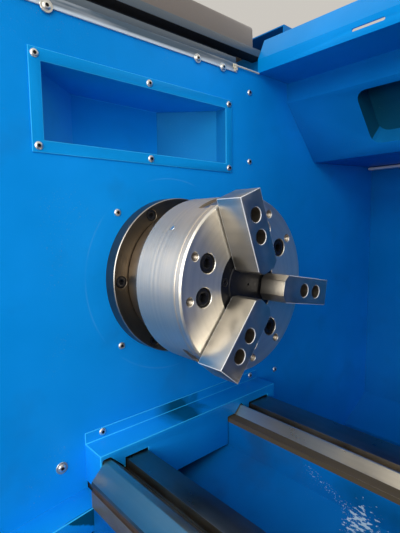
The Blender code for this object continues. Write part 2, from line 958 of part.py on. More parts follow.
# The bed's outline as seen from the end, with a clearance for what is cut round it.
def ways_outline(clearance, floor):
    lean = clearance * math.tan(math.pi / 8)
    front_foot = v_ridge_front - v_depth
    back_foot = v_ridge_back + v_depth
    return [(bed_front - clearance, floor), (bed_front - clearance, bed_front_top + clearance),
            (front_foot - clearance, v_ridge - v_depth + lean), (v_ridge_front - lean, v_ridge + clearance),
            (v_ridge_back + lean, v_ridge + clearance), (back_foot + clearance, v_ridge - v_depth + lean),
            (back_foot + clearance, front_groove_floor + clearance),
            (front_flat_edges[0] - clearance, front_groove_floor + clearance),
            (front_flat_edges[0] - clearance, front_flat + clearance),
            (front_flat_edges[1] + clearance, front_flat + clearance)]


def rear_ways_outline(clearance):
    back_foot = rear_ridge_front + rear_ridge_width + rear_ridge - rear_groove_floor
    lean = clearance * math.tan(math.pi / 8)
    return [(rear_face - clearance, rear_ledge + clearance),
            (rear_ledge_back - clearance, rear_ledge + clearance),
            (rear_ridge_front - lean, rear_ridge + clearance),
            (rear_ridge_front + rear_ridge_width + lean, rear_ridge + clearance),
            (back_foot + lean, rear_groove_floor + clearance),
            (rear_flat_edges[0] - clearance, rear_groove_floor + clearance),
            (rear_flat_edges[0] - clearance, rear_flat + clearance),
            (rear_flat_edges[1] + clearance, rear_flat + clearance)]


def make_bed():
    inner_front = front_flat_edges[1]
    casting_front_face = bed_front + ledge_thickness / 4
    rear = rear_flat_edges[1]
    machined_foot = bed_front_top - machined_depth
    outline = ways_outline(0, machined_foot)
    outline += [(inner_front, chute_foot), (rear_face, chute_fold)]
    outline += rear_ways_outline(0)
    outline += [(rear, bed_foot), (rear - bed_foot_width, bed_foot),
                (rear - bed_foot_width, bed_foot + bed_foot_height),
                (rear - bed_wall, bed_foot + bed_foot_height),
                (rear - bed_wall, chute_fold - chute_thickness),
                (rear_face, chute_fold - chute_thickness), (inner_front, chute_foot - chute_thickness),
                (casting_front_face + bed_wall, chute_foot - chute_thickness),
                (casting_front_face + bed_wall, bed_foot + bed_foot_height),
                (casting_front_face + bed_foot_width, bed_foot + bed_foot_height),
                (casting_front_face + bed_foot_width, bed_foot), (casting_front_face, bed_foot),
                (casting_front_face, ledge_top - ledge_thickness),
                (ledge_front + ledge_thickness, ledge_top - ledge_slope - ledge_thickness),
                (ledge_front + ledge_thickness, ledge_top - ledge_lip),
                (ledge_front, ledge_top - ledge_lip), (ledge_front, ledge_top - ledge_slope),
                (casting_front_face, ledge_top), (casting_front_face, machined_foot)]
    bed = prism("bed", [outline], (bed_left, bed_right))
    relief = block("bed_relief", (bed_left - overrun, cover_front + fit_gap),
                   (ledge_front - overrun, cover_left + sheet_gauge + running_gap),
                   (ledge_top + ledge_slope, v_ridge + overrun))
    ledge_relief = block("ledge_relief", (bed_left - overrun, wall_face + fit_gap),
                         (ledge_front - overrun, bed_front), (bed_foot, ledge_top + overrun))
    cut(bed, relief, ledge_relief)
    ribs = [bed_left + rib_thickness + i * (bed_right - bed_left - 3 * rib_thickness) / 4 for i in range(5)]
    for number, place in enumerate(ribs):
        rib = block("bed_rib_%d" % number, (place, place + rib_thickness),
                    (casting_front_face + bed_wall / 2, rear - bed_wall / 2),
                    (bed_foot, chute_foot - chute_thickness / 2))
        fuse(bed, rib)
    bearing = block("screw_bearing", (screw_left, screw_left + screw_block),
                    (screw_axis_y - nut_height / 2, bed_front + bed_wall / 2),
                    (screw_axis_z - nut_height / 2, screw_axis_z + nut_height / 2))
    fuse(bed, bearing)
    bore = rod("screw_bearing_bore", screw_radius + running_gap,
               (screw_left - overrun, screw_left + screw_block + overrun),
               centre=(screw_axis_y, screw_axis_z), facets=small_facets)
    cut(bed, bore)
    return paint(bed, *blue_paint)


# Wall, recess, bed cover

def make_headstock_wall():
    margin = sheet_gauge + fit_gap
    low = tray_top + fit_gap
    clearance = running_gap
    notch = [(ledge_front - clearance, low), (ledge_front - clearance, ledge_top + clearance),
             (bed_front - clearance, ledge_top + clearance)]
    notch += ways_outline(clearance, ledge_top + clearance)[1:]
    notch += [(front_flat_edges[1] + clearance, cover_apron_foot + sheet_gauge),
              (rear_face - clearance, cover_apron_foot + sheet_gauge)]
    notch += rear_ways_outline(clearance) + [(rear_flat_edges[1] + clearance, low)]
    outline = [(front_plane + margin, low)] + notch
    outline += [(back_plane - margin, low), (back_plane - margin, wall_top), (front_plane + margin, wall_top)]
    wall = prism("headstock_wall", [outline], (wall_back, wall_face))
    hole = rod("wall_hole", wall_hole, (wall_back - overrun, wall_face + overrun), facets=shaft_facets)
    edge = recess_gauge + fit_gap
    mouth = block("recess_hole", (wall_back - overrun, wall_face + overrun),
                  (recess_mouth[0] - edge, recess_mouth[1] + edge),
                  (recess_height[0] - edge, recess_height[1] + edge))
    places = [(y, z) for y in (-screw_square, screw_square) for z in (-screw_square, screw_square)]
    places += [(y * screw_field, z * screw_field) for y, z in wall_screw_shares]
    cut(wall, hole, mouth)
    fuse(wall, screw_heads("wall_screws", wall_face, places))
    return paint(wall, *blue_paint)


def make_wall_recess():
    gauge = recess_gauge
    face = wall_face + fit_gap + gauge
    back = wall_face - recess_depth
    bend = wall_face - recess_straight

    def plan(extra, front):
        return [(front, recess_mouth[0] - extra), (bend, recess_mouth[0] - extra),
                (back - extra, recess_back[0] - extra / 2), (back - extra, recess_back[1] + extra / 2),
                (bend, recess_mouth[1] + extra), (front, recess_mouth[1] + extra)]

    pocket = prism("wall_recess", [plan(gauge, face)], (recess_height[0] - gauge, recess_height[1] + gauge),
                   axis="Z")
    flange = block("recess_flange", (wall_face + fit_gap, face),
                   (recess_mouth[0] - recess_flange, recess_mouth[1] + recess_flange),
                   (recess_height[0] - recess_flange, recess_height[1] + recess_flange))
    hollow = prism("recess_hollow", [plan(0, face + overrun)], recess_height, axis="Z")
    inset = recess_flange - screw_inset
    middle = (recess_mouth[0] + recess_mouth[1]) / 2
    places = [(y, z) for y in (recess_mouth[0] - inset, middle, recess_mouth[1] + inset)
              for z in (recess_height[0] - inset, recess_height[1] + inset)]
    cut(fuse(pocket, flange), hollow)
    fuse(pocket, screw_heads("recess_screws", face, places))
    return paint(pocket, *blue_paint)


# Low round-headed screws seated on a face of the wall or of what it carries.
def screw_heads(name, face, places):
    head = turned("screw_head", ((0, screw_head_height), (screw_head * 0.6, screw_head_height * 0.8),
                                 (screw_head, -seating), (0, -seating)), facets=screw_facets)
    return group(name, head, [shift(face, y, z) for y, z in places])


def make_bed_cover():
    gauge = sheet_gauge
    back = wall_face + fit_gap
    outer = block("bed_cover", (back, cover_front), (cover_left, cover_right), (cover_side_foot, cover_top))
    apron = block("cover_apron", (cover_front - gauge, cover_front),
                  (front_flat_edges[1] + cover_clearance, rear_face - cover_clearance),
                  (cover_apron_foot, cover_top - gauge))
    inner = block("cover_inner", (back - overrun, cover_front - gauge),
                  (cover_left + gauge, cover_right - gauge), (cover_apron_foot - overrun, cover_top - gauge))
    flange = block("cover_flange", (back, back + recess_gauge), (cover_left, cover_right),
                   (cover_top - gauge, cover_top + cover_flange))
    front_notch = ways_outline(cover_clearance, cover_apron_foot - overrun)
    edge = cover_left + gauge
    ridge_y, ridge_z = front_notch[3]
    front_notch[:3] = [(edge, front_notch[0][1]), (edge, ridge_z - (ridge_y - edge))]
    front_notch.append((front_flat_edges[1] + cover_clearance, cover_apron_foot - overrun))
    front_way = prism("front_way_notch", [front_notch], (cover_front - gauge * 2, cover_front + overrun))
    rear_notch = [(rear_face - cover_clearance, cover_apron_foot - overrun)]
    rear_notch += rear_ways_outline(cover_clearance)
    rear_notch.append((rear_flat_edges[1] + cover_clearance, cover_apron_foot - overrun))
    rear_way = prism("rear_way_notch", [rear_notch], (cover_front - gauge * 2, cover_front + overrun))
    cut(outer, inner)
    fuse(outer, apron, flange)
    cut(outer, front_way, rear_way)
    line = cover_top + cover_flange * 0.6
    places = ((cover_left + cover_flange * 1.7, line), (cover_right - cover_flange * 1.3, line))
    fuse(outer, screw_heads("cover_flange_screws", back + recess_gauge, places))
    return paint(outer, *blue_paint)


# Strip and channel along the wall's top edge

def make_seal_strip():
    face = wall_face + fit_gap
    strip = block("seal_strip", (face, face + strip_gauge),
                  (front_plane + sheet_gauge + fit_gap, channel_end), (wall_top - strip_height, wall_top))
    places = [(y * screw_field, wall_top - strip_screw_drop) for y in strip_screw_shares]
    fuse(strip, screw_heads("strip_screws", face + strip_gauge, places))
    return paint(strip, *clear_strip)


def make_roof_channel():
    low = wall_top + fit_gap
    face = wall_face
    bottom = low + channel_lip
    slot_top = bottom + channel_slot
    back = wall_back - channel_depth
    front = front_plane + sheet_gauge + fit_gap
    top = shell_top - fit_gap
    outline = ((face, low), (face, bottom), (back + sheet_gauge, bottom), (back + sheet_gauge, slot_top),
               (face, slot_top), (face, top), (back, top), (back, low))
    channel = prism("roof_channel", [outline], (front, partition - sheet_gauge - fit_gap), axis="Y")
    shorter = block("channel_end_cut", (back - overrun, face + overrun), (channel_end, partition + overrun),
                    (low - overrun, slot_top))
    cut(channel, shorter)
    return paint(channel, *cast_metal)


def make_headstock_roof():
    low = shell_top + fit_gap
    top = low + roof_rim
    curve = sheet_gauge * 2
    rim = block("headstock_roof", (machine_left, shell_right), (front_plane, roof_end), (low - curve, top))
    hollow = block("roof_hollow", (machine_left + sheet_gauge, shell_right - sheet_gauge),
                   (front_plane + sheet_gauge, roof_end - sheet_gauge), (low - overrun, top - sheet_gauge))
    trim = block("roof_trim", (machine_left - overrun, shell_right + overrun),
                 (front_plane - overrun, roof_end + overrun), (low - curve - overrun, low))
    soften(rim, curve)
    cut(rim, trim, hollow)
    return paint(rim, (0.33, 0.27, 0.22), 0.0, 0.45)


# Left housing: machinery space at the front, electrical cabinet at the back

def make_headstock_shell():
    low = tray_top + fit_gap
    gauge = sheet_gauge
    outline = ((front_plane, low), (front_plane, shell_top), (partition, shell_top),
               (partition, cabinet_top), (back_plane, cabinet_top), (back_plane, low))
    shell = prism("headstock_shell", [outline], (machine_left, shell_right))
    machinery = block("machinery_space", (machine_left + gauge, shell_right + overrun),
                      (front_plane + gauge, partition - gauge), (low - overrun, cabinet_top + overrun))
    margin = cabinet_opening_margin
    cabinet = block("cabinet_space", (machine_left + gauge, shell_right - gauge),
                    (partition, back_plane - gauge), (low + gauge, cabinet_top - gauge))
    opening = block("cabinet_opening", (machine_left + margin, shell_right - margin),
                    (back_plane - gauge - overrun, back_plane + overrun),
                    (cabinet_door_foot + margin, cabinet_top - margin))
    cut(shell, machinery, cabinet, opening)
    for number, place in enumerate(hinge_heights()):
        for side in (-1, 1):
            near = place + side * (hinge_length / 2 + hinge_gap)
            far = near + side * hinge_length
            span = (min(near, far), max(near, far))
            knuckle = rod("shell_knuckle_%d_%d" % (number, side), hinge_radius, span, axis="Z",
                          centre=hinge_axis, facets=screw_facets)
            leaf = block("shell_leaf_%d_%d" % (number, side),
                         (hinge_axis[0] - gauge, hinge_axis[0] + gauge),
                         (back_plane - gauge / 2, hinge_axis[1]), span)
            fuse(shell, knuckle, leaf)
    return paint(shell, *grey_paint)


def hinge_heights():
    return (cabinet_door_foot + hinge_inset, cabinet_top - hinge_inset)


def make_cabinet_door():
    gauge = sheet_gauge
    left = hinge_axis[0] + hinge_radius + running_gap
    right = shell_right - cabinet_door_inset
    near = back_plane + cabinet_door_gap
    far = near + cabinet_door_depth
    low = cabinet_door_foot
    high = cabinet_top - cabinet_door_inset
    door = soften(block("cabinet_door", (left, right), (near, far), (low, high)), gauge)
    hollow = block("door_hollow", (left + gauge, right - gauge), (near - overrun, far - gauge),
                   (low + gauge, high - gauge))
    cut(door, hollow)
    for number, place in enumerate(hinge_heights()):
        span = (place - hinge_length / 2, place + hinge_length / 2)
        fuse(door, rod("door_knuckle_%d" % number, hinge_radius, span, axis="Z", centre=hinge_axis,
                       facets=screw_facets))
        fuse(door, block("door_leaf_%d" % number, (hinge_axis[0], left + gauge / 2),
                         (far - gauge, far - gauge / 4), span))
    return paint(door, *grey_paint)


def make_control_modules():
    back = partition + fit_gap
    left = machine_left + plate_margin
    right = shell_right - plate_margin
    low = cabinet_door_foot + plate_margin
    high = cabinet_top - plate_margin
    plate = block("control_modules", (left, right), (back, back + sheet_gauge), (low, high))
    wide = right - left
    tall = high - low
    for number, (across, up, width, height) in enumerate(module_shares):
        unit = block("module_%d" % number, (left + across * wide, left + (across + width) * wide),
                     (back + sheet_gauge / 2, back + module_depth),
                     (low + up * tall, low + (up + height) * tall))
        fuse(plate, unit)
    return paint(plate, *cast_metal)


# Rear guard, side wall and front panel

def guard_path():
    return [(guard_beam_front + guard_beam_lean, guard_beam_top), (guard_beam_front, guard_beam_fold),
            (guard_beam_front, guard_beam_foot), (guard_box_front, guard_beam_foot),
            (guard_box_front, guard_box_fold), (guard_slant_back, guard_slant_foot),
            (guard_back, guard_back_top), (guard_back, guard_back_foot),
            (guard_chute_front, guard_chute_foot), (guard_chute_front, tray_top + fit_gap)]


def make_rear_guard():
    span = (wall_face + fit_gap, machine_right - sheet_gauge - fit_gap)
    guard = bent_sheet("rear_guard", guard_path(), span, sheet_gauge, -1)
    slot_ends = guard_slot
    radius = (guard_slot_height[1] - guard_slot_height[0]) / 2
    slot = prism("guard_slot", [rounded_box((slot_ends[0], guard_slot_height[0]),
                                            (slot_ends[1], guard_slot_height[1]), radius)],
                 (guard_beam_front - overrun, guard_beam_front + overrun), axis="Y")
    run = guard_slant_back - guard_box_front
    rise = guard_slant_foot - guard_box_fold
    slant = math.hypot(run, rise)
    tilt = math.atan2(rise, run)
    low = (pocket_left, pocket_margin / 2)
    high = (pocket_left + pocket_length, slant - pocket_margin)
    pocket_frame = (shift(y=guard_box_front, z=guard_box_fold) @ Matrix.Rotation(tilt, 4, "X"))
    shell = prism("pocket_shell", [rounded_box((low[0] - sheet_gauge, low[1] - sheet_gauge),
                                               (high[0] + sheet_gauge, high[1] + sheet_gauge),
                                               pocket_corner + sheet_gauge)],
                  (sheet_gauge / 2, pocket_depth + sheet_gauge), axis="Z")
    hollow = prism("pocket_hollow", [rounded_box(low, high, pocket_corner)],
                   (-overrun, pocket_depth), axis="Z")
    for piece in (shell, hollow):
        piece.matrix_local = pocket_frame
    cut(guard, slot)
    cut(fuse(guard, shell), hollow)
    return paint(guard, *blue_paint)


def make_work_lamp():
    rise = (guard_back_top - guard_slant_foot) / (guard_back - guard_slant_back)
    back = guard_back - lamp_gap_back
    front = back - lamp_width
    top_back = guard_back_top - rise * lamp_gap_back - running_gap
    top_front = top_back - rise * lamp_width
    outline = ((front, top_front), (back, top_back), (back, top_back - lamp_height),
               (front, top_back - lamp_height))
    lamp = prism("work_lamp", [outline], (lamp_start, lamp_end))
    return paint(lamp, (0.9, 0.9, 0.86), 0.0, 0.3)


def make_right_wall():
    margin = sheet_gauge + fit_gap
    low = tray_top + fit_gap
    outline = ((front_plane + margin, low), (front_plane + margin, panel_top),
               (guard_beam_front + guard_beam_lean, panel_top), (guard_box_front, guard_beam_top),
               (back_plane, guard_back_top + margin), (back_plane, low))
    wall = prism("right_wall", [outline], (machine_right - sheet_gauge, machine_right))
    return paint(wall, *blue_paint)


def make_front_panel():
    left = shell_right + fit_gap
    low = tray_top + fit_gap
    outline = ((left, low), (machine_right, low), (machine_right, panel_top), (left, panel_top))
    corner = rounded_box((opening_x[0], opening_z[0]), (opening_x[1], opening_z[1]), pocket_corner)
    panel = prism("front_panel", [outline, corner], (front_plane, front_plane + sheet_gauge), axis="Y")
    inside = (front_plane + sheet_gauge / 2, front_plane + panel_return)
    sill = block("sill_return", (opening_x[0] + pocket_corner, opening_x[1] - pocket_corner), inside,
                 (opening_z[0] - sheet_gauge, opening_z[0]))
    head = block("head_return", (opening_x[0] + pocket_corner, opening_x[1] - pocket_corner), inside,
                 (opening_z[1], opening_z[1] + sheet_gauge))
    top = block("top_return", (wall_face + strip_gauge + fit_gap, machine_right - sheet_gauge - fit_gap),
                inside, (panel_top - sheet_gauge, panel_top))
    fuse(panel, sill, head, top)
    return paint(panel, *grey_paint)


# Sliding door

def make_rail(name, low):
    far = door_back - door_depth - running_gap * 2
    rail = block(name, (machine_left, machine_right), (far, front_plane - fit_gap), (low, low + rail_height))
    return paint(soften(rail, sheet_gauge), *cast_metal)


def make_lower_rail():
    return make_rail("lower_door_rail", door_foot - fit_gap - rail_height)


def make_upper_rail():
    return make_rail("upper_door_rail", door_foot + door_height + fit_gap)


def make_sliding_door():
    left = door_rest_left
    right = left + door_width
    top = door_foot + door_height
    front = door_back - door_depth
    gauge = door_gauge
    door = soften(block("sliding_door", (left, right), (front, door_back), (door_foot, top)), gauge * 2)
    hollow = block("door_pan", (left + gauge, right - gauge), (front + gauge, door_back + overrun),
                   (door_foot + gauge, top - gauge))
    cut(door, hollow)
    seat = window_seat(left)
    rebate = prism("window_rebate", [rounded_box(seat[0], seat[1], pocket_corner)],
                   (front - overrun, front + overrun), axis="Y")
    cut(door, rebate)
    middle = door_foot + door_height / 2
    x = right - handle_inset
    reach = front - handle_reach
    curve = bpy.data.curves.new("door_handle", "CURVE")
    curve.dimensions = "3D"
    curve.bevel_depth = handle_radius
    curve.bevel_resolution = 1
    curve.use_fill_caps = True
    path = [(x, front + gauge / 2, middle - handle_length / 2)]
    bend = handle_radius * 2
    for turn in range(4):
        angle = turn * math.pi / 6
        path.append((x, reach + bend - bend * math.sin(angle), middle - handle_length / 2 + bend
                     - bend * math.cos(angle)))
    path += [(px, py, 2 * middle - pz) for px, py, pz in reversed(path)]
    spline = curve.splines.new("POLY")
    spline.points.add(len(path) - 1)
    for point, place in zip(spline.points, path):
        point.co = (*place, 1)
    loose = bpy.data.objects.new("door_handle_curve", curve)
    parts.objects.link(loose)
    mesh = solid_mesh(loose)
    bpy.data.objects.remove(loose)
    build = bmesh.new()
    build.from_mesh(mesh)
    bmesh.ops.remove_doubles(build, verts=build.verts, dist=0.00001)
    bmesh.ops.recalc_face_normals(build, faces=build.faces)
    build.to_mesh(mesh)
    build.free()
    fuse(door, adopt(bpy.data.objects.new("door_handle", mesh)))
    return paint(door, *blue_paint)


def window_seat(left):
    low = (left + door_frame, door_foot + door_frame)
    high = (left + door_width - door_frame, door_foot + door_height - door_frame)
    return low, high


def make_door_window():
    low, high = window_seat(door_rest_left)
    gap = fit_gap
    front = door_back - door_depth
    pane = prism("door_window", [rounded_box((low[0] + gap, low[1] + gap), (high[0] - gap, high[1] - gap),
                                             pocket_corner - gap)],
                 (front, front + window_thickness), axis="Y")
    return paint(pane, *glass_pane)


# Tray, bases, feet

def belt_slot(name, low, high):
    middle = spindle_end + pulley_width / 2
    half_x = pulley_width / 2 + casting_wall
    half_y = spindle_pulley_radius + casting_wall
    return block(name, (middle - half_x, middle + half_x), (-half_y, half_y), (low, high))


def make_chip_tray():
    low = tray_top - tray_depth
    tray = block("chip_tray", (machine_left, machine_right), (front_plane, back_plane), (low, tray_top))
    gauge = sheet_gauge
    hollow = block("tray_hollow", (machine_left + gauge, machine_right - gauge),
                   (front_plane + gauge, back_plane - gauge), (low + gauge, tray_top + overrun))
    cut(tray, hollow, belt_slot("tray_belt_slot", low - overrun, tray_top))
    return paint(tray, *blue_paint)


def make_base(name, span, inset):
    top = tray_top - tray_depth - fit_gap
    low = top - base_height
    half = base_depth / 2
    base = soften(block(name, span, (-half, half), (low, top)), base_corner)
    wall = casting_wall
    hollow = block(name + "_hollow", (span[0] + wall, span[1] - wall), (-half + wall, half - wall),
                   (low - overrun, top - wall))
    cut(base, hollow)
    floor = -spindle_height
    foot_top = low + base_corner
    foot = turned(name + "_foot", ((0, foot_top), (stud_radius, foot_top),
                                   (stud_radius, floor + foot_thickness + stud_radius),
                                   (foot_radius, floor + foot_thickness), (foot_radius, floor), (0, floor)),
                  axis="Z", facets=stud_facets)
    row = half - wall - stud_radius
    columns = (span[0] + inset, span[1] - inset)
    places = [shift(x, y) for x in columns for y in (-row, row)]
    pads = [shift(x, y) for x in columns for y in (-half + wall / 2, half - wall / 2)]
    lug = rod(name + "_lug", stud_radius * 2, (low, low + base_corner * 2), axis="Z", facets=stud_facets)
    fuse(base, group(name + "_lugs", lug, pads), group(name + "_feet", foot, places))
    return base


def make_left_base():
    base = make_base("left_base", left_base_span, left_foot_inset)
    top = tray_top - tray_depth - fit_gap
    window = belt_slot("base_belt_slot", top - casting_wall - overrun, top + overrun)
    half = motor_radius + casting_wall
    service = prism("service_opening", [rounded_box((-half, motor_axis - half), (half, motor_axis + half),
                                                    pocket_corner)],
                    (left_base_span[0] - overrun, left_base_span[0] + casting_wall + overrun))
    cut(base, window, service)
    return paint(base, *blue_paint)


def make_right_base():
    inset = right_foot_share * (right_base_span[1] - right_base_span[0])
    return paint(make_base("right_base", right_base_span, inset), *blue_paint)


def make_main_motor():
    left = motor_front
    right = left + motor_length
    top = tray_top - tray_depth - fit_gap - casting_wall - fit_gap
    step = (motor_length - 2 * motor_bell) / motor_fins
    profile = [(0, right), (motor_bell_radius, right), (motor_radius, right - motor_bell)]
    for fin in range(motor_fins):
        place = right - motor_bell - fin * step
        profile += [(motor_radius, place - step / 2), (motor_radius - motor_fin, place - step / 2),
                    (motor_radius - motor_fin, place - step), (motor_radius, place - step)]
    profile += [(motor_bell_radius, left), (0, left)]
    motor = turned("main_motor", profile, centre=(0, motor_axis), facets=small_facets)
    half = motor_mount_width / 2
    inset = motor_bell + step / 4
    mount = block("motor_mount", (left + inset, right - inset), (-half, half),
                  (motor_axis + motor_radius * 0.7, top))
    fuse(motor, mount)
    return paint(motor, *blue_paint)


def make_coolant_unit():
    floor = -spindle_height
    half = tank_depth / 2
    top = floor + tank_height
    tank = soften(block("coolant_unit", tank_span, (-half, half), (floor, top)), base_corner / 2)
    gauge = tank_gauge
    hollow = block("tank_hollow", (tank_span[0] + gauge, tank_span[1] - gauge), (-half + gauge, half - gauge),
                   (floor + gauge, top - gauge))
    mouth_end = tank_span[0] + tank_depth
    mouth = block("tank_mouth", (tank_span[0] + tank_gauge * 6, mouth_end),
                  (-half + gauge * 6, half - gauge * 6), (top - gauge - overrun, top + overrun))
    cut(tank, hollow, mouth)
    place = (tank_span[1] - pump_radius * 2, 0)
    limit = tray_top - tray_depth - fit_gap
    pump = turned("pump", ((0, limit), (pump_radius * 0.8, limit), (pump_radius, limit - pump_radius / 4),
                           (pump_radius, top + pump_radius / 3), (pump_radius * 1.3, top + pump_radius / 3),
                           (pump_radius * 1.3, top - gauge / 2), (0, top - gauge / 2)),
                  axis="Z", centre=place, facets=small_facets)
    fuse(tank, pump)
    return paint(tank, *blue_paint)


# Carriage

def make_saddle():
    rise = fit_gap * 1.5
    top = saddle_top
    under = saddle_under
    slope_front = v_ridge_front - (v_ridge + rise - under)
    slope_back = v_ridge_back + (v_ridge + rise - under)
    foot = rear_flat + fit_gap
    outline = ((apron_front, top), (apron_front, apron_foot), (apron_back, apron_foot), (apron_back, under),
               (slope_front, under), (v_ridge_front, v_ridge + rise), (v_ridge_back, v_ridge + rise),
               (slope_back, under), (rear_flat_edges[0] + running_gap, under),
               (rear_flat_edges[0] + running_gap, foot), (rear_flat_edges[1] - running_gap, foot),
               (rear_flat_edges[1] - running_gap, under), (saddle_back, under), (saddle_back, top))
    half = saddle_length / 2
    span = (saddle_centre - half, saddle_centre + half)
    saddle = prism("saddle", [outline], span)
    notch = rounded_box((turret_x + slide_width / 2 + casting_wall, saddle_window[0]),
                        (span[1] + overrun * 2, saddle_window[1]), pocket_corner)
    cut(saddle, prism("saddle_notch", [notch], (under - overrun, top + overrun), axis="Z"), solver="MANIFOLD")
    low = dovetail_half - dovetail_undercut
    rail = prism("dovetail", [((turret_x - low, top - dovetail_height / 2),
                               (turret_x + low, top - dovetail_height / 2),
                               (turret_x + low, top), (turret_x + dovetail_half, top + dovetail_height),
                               (turret_x - dovetail_half, top + dovetail_height), (turret_x - low, top))],
                 (apron_front, saddle_back), axis="Y")
    nut = block("nut_bracket", (saddle_centre - nut_block / 2, saddle_centre + nut_block / 2),
                (apron_front + sheet_gauge, nut_back),
                (screw_axis_z - nut_height / 2, screw_axis_z + nut_height / 2))
    bore = rod("nut_bore", screw_radius + running_gap, span, centre=(screw_axis_y, screw_axis_z))
    fuse(saddle, rail, nut, solver="MANIFOLD")
    cut(saddle, bore, solver="MANIFOLD")
    return paint(saddle, *cast_metal)


def make_x_servo_motor():
    half = servo_size / 2
    z = saddle_top - x_servo_drop
    back = apron_front - fit_gap
    outline = rounded_box((saddle_centre - half, z - half), (saddle_centre + half, z + half), half / 4)
    body = prism("x_servo_motor", [outline], (back - x_servo_length, back), axis="Y")
    return paint(body, *dark_paint)


def make_cross_slide():
    half = slide_width / 2
    low = saddle_top + fit_gap
    top = low + slide_height
    gap = fit_gap * 1.4
    foot = dovetail_half - dovetail_undercut + gap
    head = dovetail_half + gap
    roof = saddle_top + dovetail_height + fit_gap
    x = turret_x
    outline = ((x - half, low), (x - foot, low), (x - head, roof), (x + head, roof), (x + foot, low),
               (x + half, low), (x + half, top), (x - half, top))
    span = (turret_y - slide_length / 2, turret_y + slide_length / 2)
    return paint(prism("cross_slide", [outline], span, axis="Y"), *cast_metal)


def turret_square(extra=0.0):
    half = turret_width / 2 + extra
    return rounded_box((turret_x - half, turret_y - half), (turret_x + half, turret_y + half), turret_corner)


def make_turret_base():
    base = prism("turret_base", [turret_square()], (turret_floor, turret_floor + turret_base_height), axis="Z")
    return paint(base, *cast_metal)


def make_turret_head():
    low = turret_floor + turret_base_height + fit_gap
    top = low + turret_head_height
    head = prism("turret_head", [turret_square()], (low, top), axis="Z")
    reach = turret_width / 2 + overrun
    inner = turret_width / 2 - tool_size + tool_overhang - fit_gap
    pocket_low = -tool_size - fit_gap
    for quarter in range(station_count):
        pocket = block("tool_pocket_%d" % quarter, (-reach, -inner), (-reach, reach),
                       (pocket_low, tool_headroom))
        pocket.matrix_local = shift(turret_x, turret_y) @ Matrix.Rotation(quarter * turn_between_stations, 4, "Z")
        cut(head, pocket)
    cap = rod("turret_cap", turret_cap_radius, (top - fit_gap, top + turret_cap_height), axis="Z",
              centre=(turret_x, turret_y), facets=small_facets)
    fuse(head, cap)
    line = tool_size / 2 - tool_overhang - turret_width / 2
    spread = turret_width / 2 - turret_corner - clamp_screw_radius
    screw = rod("clamp_screw", clamp_screw_radius, (fit_gap, top + clamp_screw_height), axis="Z",
                facets=stud_facets)
    middle = shift(turret_x, turret_y)
    turns = [Matrix.Rotation(i * turn_between_stations, 4, "Z") for i in range(station_count)]
    fuse(head, group("clamp_screws", screw, [middle @ turn @ shift(line, y) for turn in turns
                                             for y in (-spread, spread)]))
    return paint(head, *dark_paint)


def make_tool(index):
    outer = turret_x - turret_width / 2 - tool_overhang
    inner = outer + tool_size
    low = turret_y + tool_reach - tool_length
    tip = turret_y + tool_reach
    tool = prism("turning_tool_%d" % (index + 1),
                 [((outer, low), (inner, low), (inner, tip - tool_tip_length), (outer + tool_size / 6, tip),
                   (outer, tip - tool_tip_length / 6))], (-tool_size, 0), axis="Z")
    centre = shift(turret_x, turret_y)
    turn = Matrix.Rotation(index * turn_between_stations, 4, "Z")
    tool.data.transform(centre @ turn @ centre.inverted())
    return paint(tool, *black_oxide)


def make_z_ballscrew():
    end = bed_right - screw_block - fit_gap
    screw = rod("z_ballscrew", screw_radius, (screw_left, end), centre=(screw_axis_y, screw_axis_z))
    return paint(screw, *ground_steel)


def make_z_servo_motor():
    half = servo_size / 2
    y = screw_axis_y
    z = screw_axis_z
    start = bed_right - screw_block
    seat = block("z_servo_motor", (start, bed_right + fit_gap), (y - nut_height / 2, bed_front - fit_gap),
                 (z - nut_height / 2, z + nut_height / 2))
    body = prism("z_servo_body", [rounded_box((y - half, z - half), (y + half, z + half), half / 4)],
                 (bed_right + fit_gap / 2, bed_right + servo_length))
    fuse(seat, body)
    return paint(seat, *dark_paint)


# Tailstock

def make_tailstock_body():
    foot = front_flat + fit_gap
    rear_foot = rear_flat + fit_gap
    under = tail_under
    left = front_flat_edges[0] + running_gap
    right = rear_flat_edges[1] - running_gap
    shoulder = under + tail_base_height
    lean = math.acos(tail_neck / tail_barrel)
    crown = arc((0, 0), tail_barrel, -lean, math.pi + lean, 16)
    outline = crown + [(-tail_neck * 1.3, shoulder), (left, shoulder), (left, foot),
                       (front_flat_edges[1] - running_gap, foot), (front_flat_edges[1] - running_gap, under),
                       (rear_flat_edges[0] + running_gap, under),
                       (rear_flat_edges[0] + running_gap, rear_foot),
                       (right, rear_foot), (right, shoulder), (tail_neck * 1.3, shoulder)]
    span = (tail_left, tail_left + tail_length)
    body = prism("tailstock_body", [outline], span)
    bore_end = span[1] - casting_wall
    boss = rod("lever_boss", lever_boss, (-tail_barrel - lever_boss_length, -tail_barrel / 2), axis="Y",
               centre=(tail_left + lever_place, lever_height))
    fuse(body, boss)
    cut(body, rod("quill_bore", quill_radius + fit_gap, (span[0] - overrun, bore_end), facets=shaft_facets))
    return paint(body, *blue_paint)


def make_tailstock_quill():
    front = tail_left - quill_rest
    quill = rod("tailstock_quill", quill_radius, (front, front + quill_length), facets=shaft_facets)
    return paint(quill, *bright_steel)


def make_live_centre():
    base = tail_left - quill_rest - fit_gap
    shoulder = base - centre_body_length
    tip = shoulder - centre_cone
    centre = turned("live_centre", ((0, base), (centre_body, base), (centre_body, shoulder),
                                    (centre_cone * math.tan(math.pi / 6), shoulder), (0, tip)),
                    facets=small_facets)
    return paint(centre, *bright_steel)


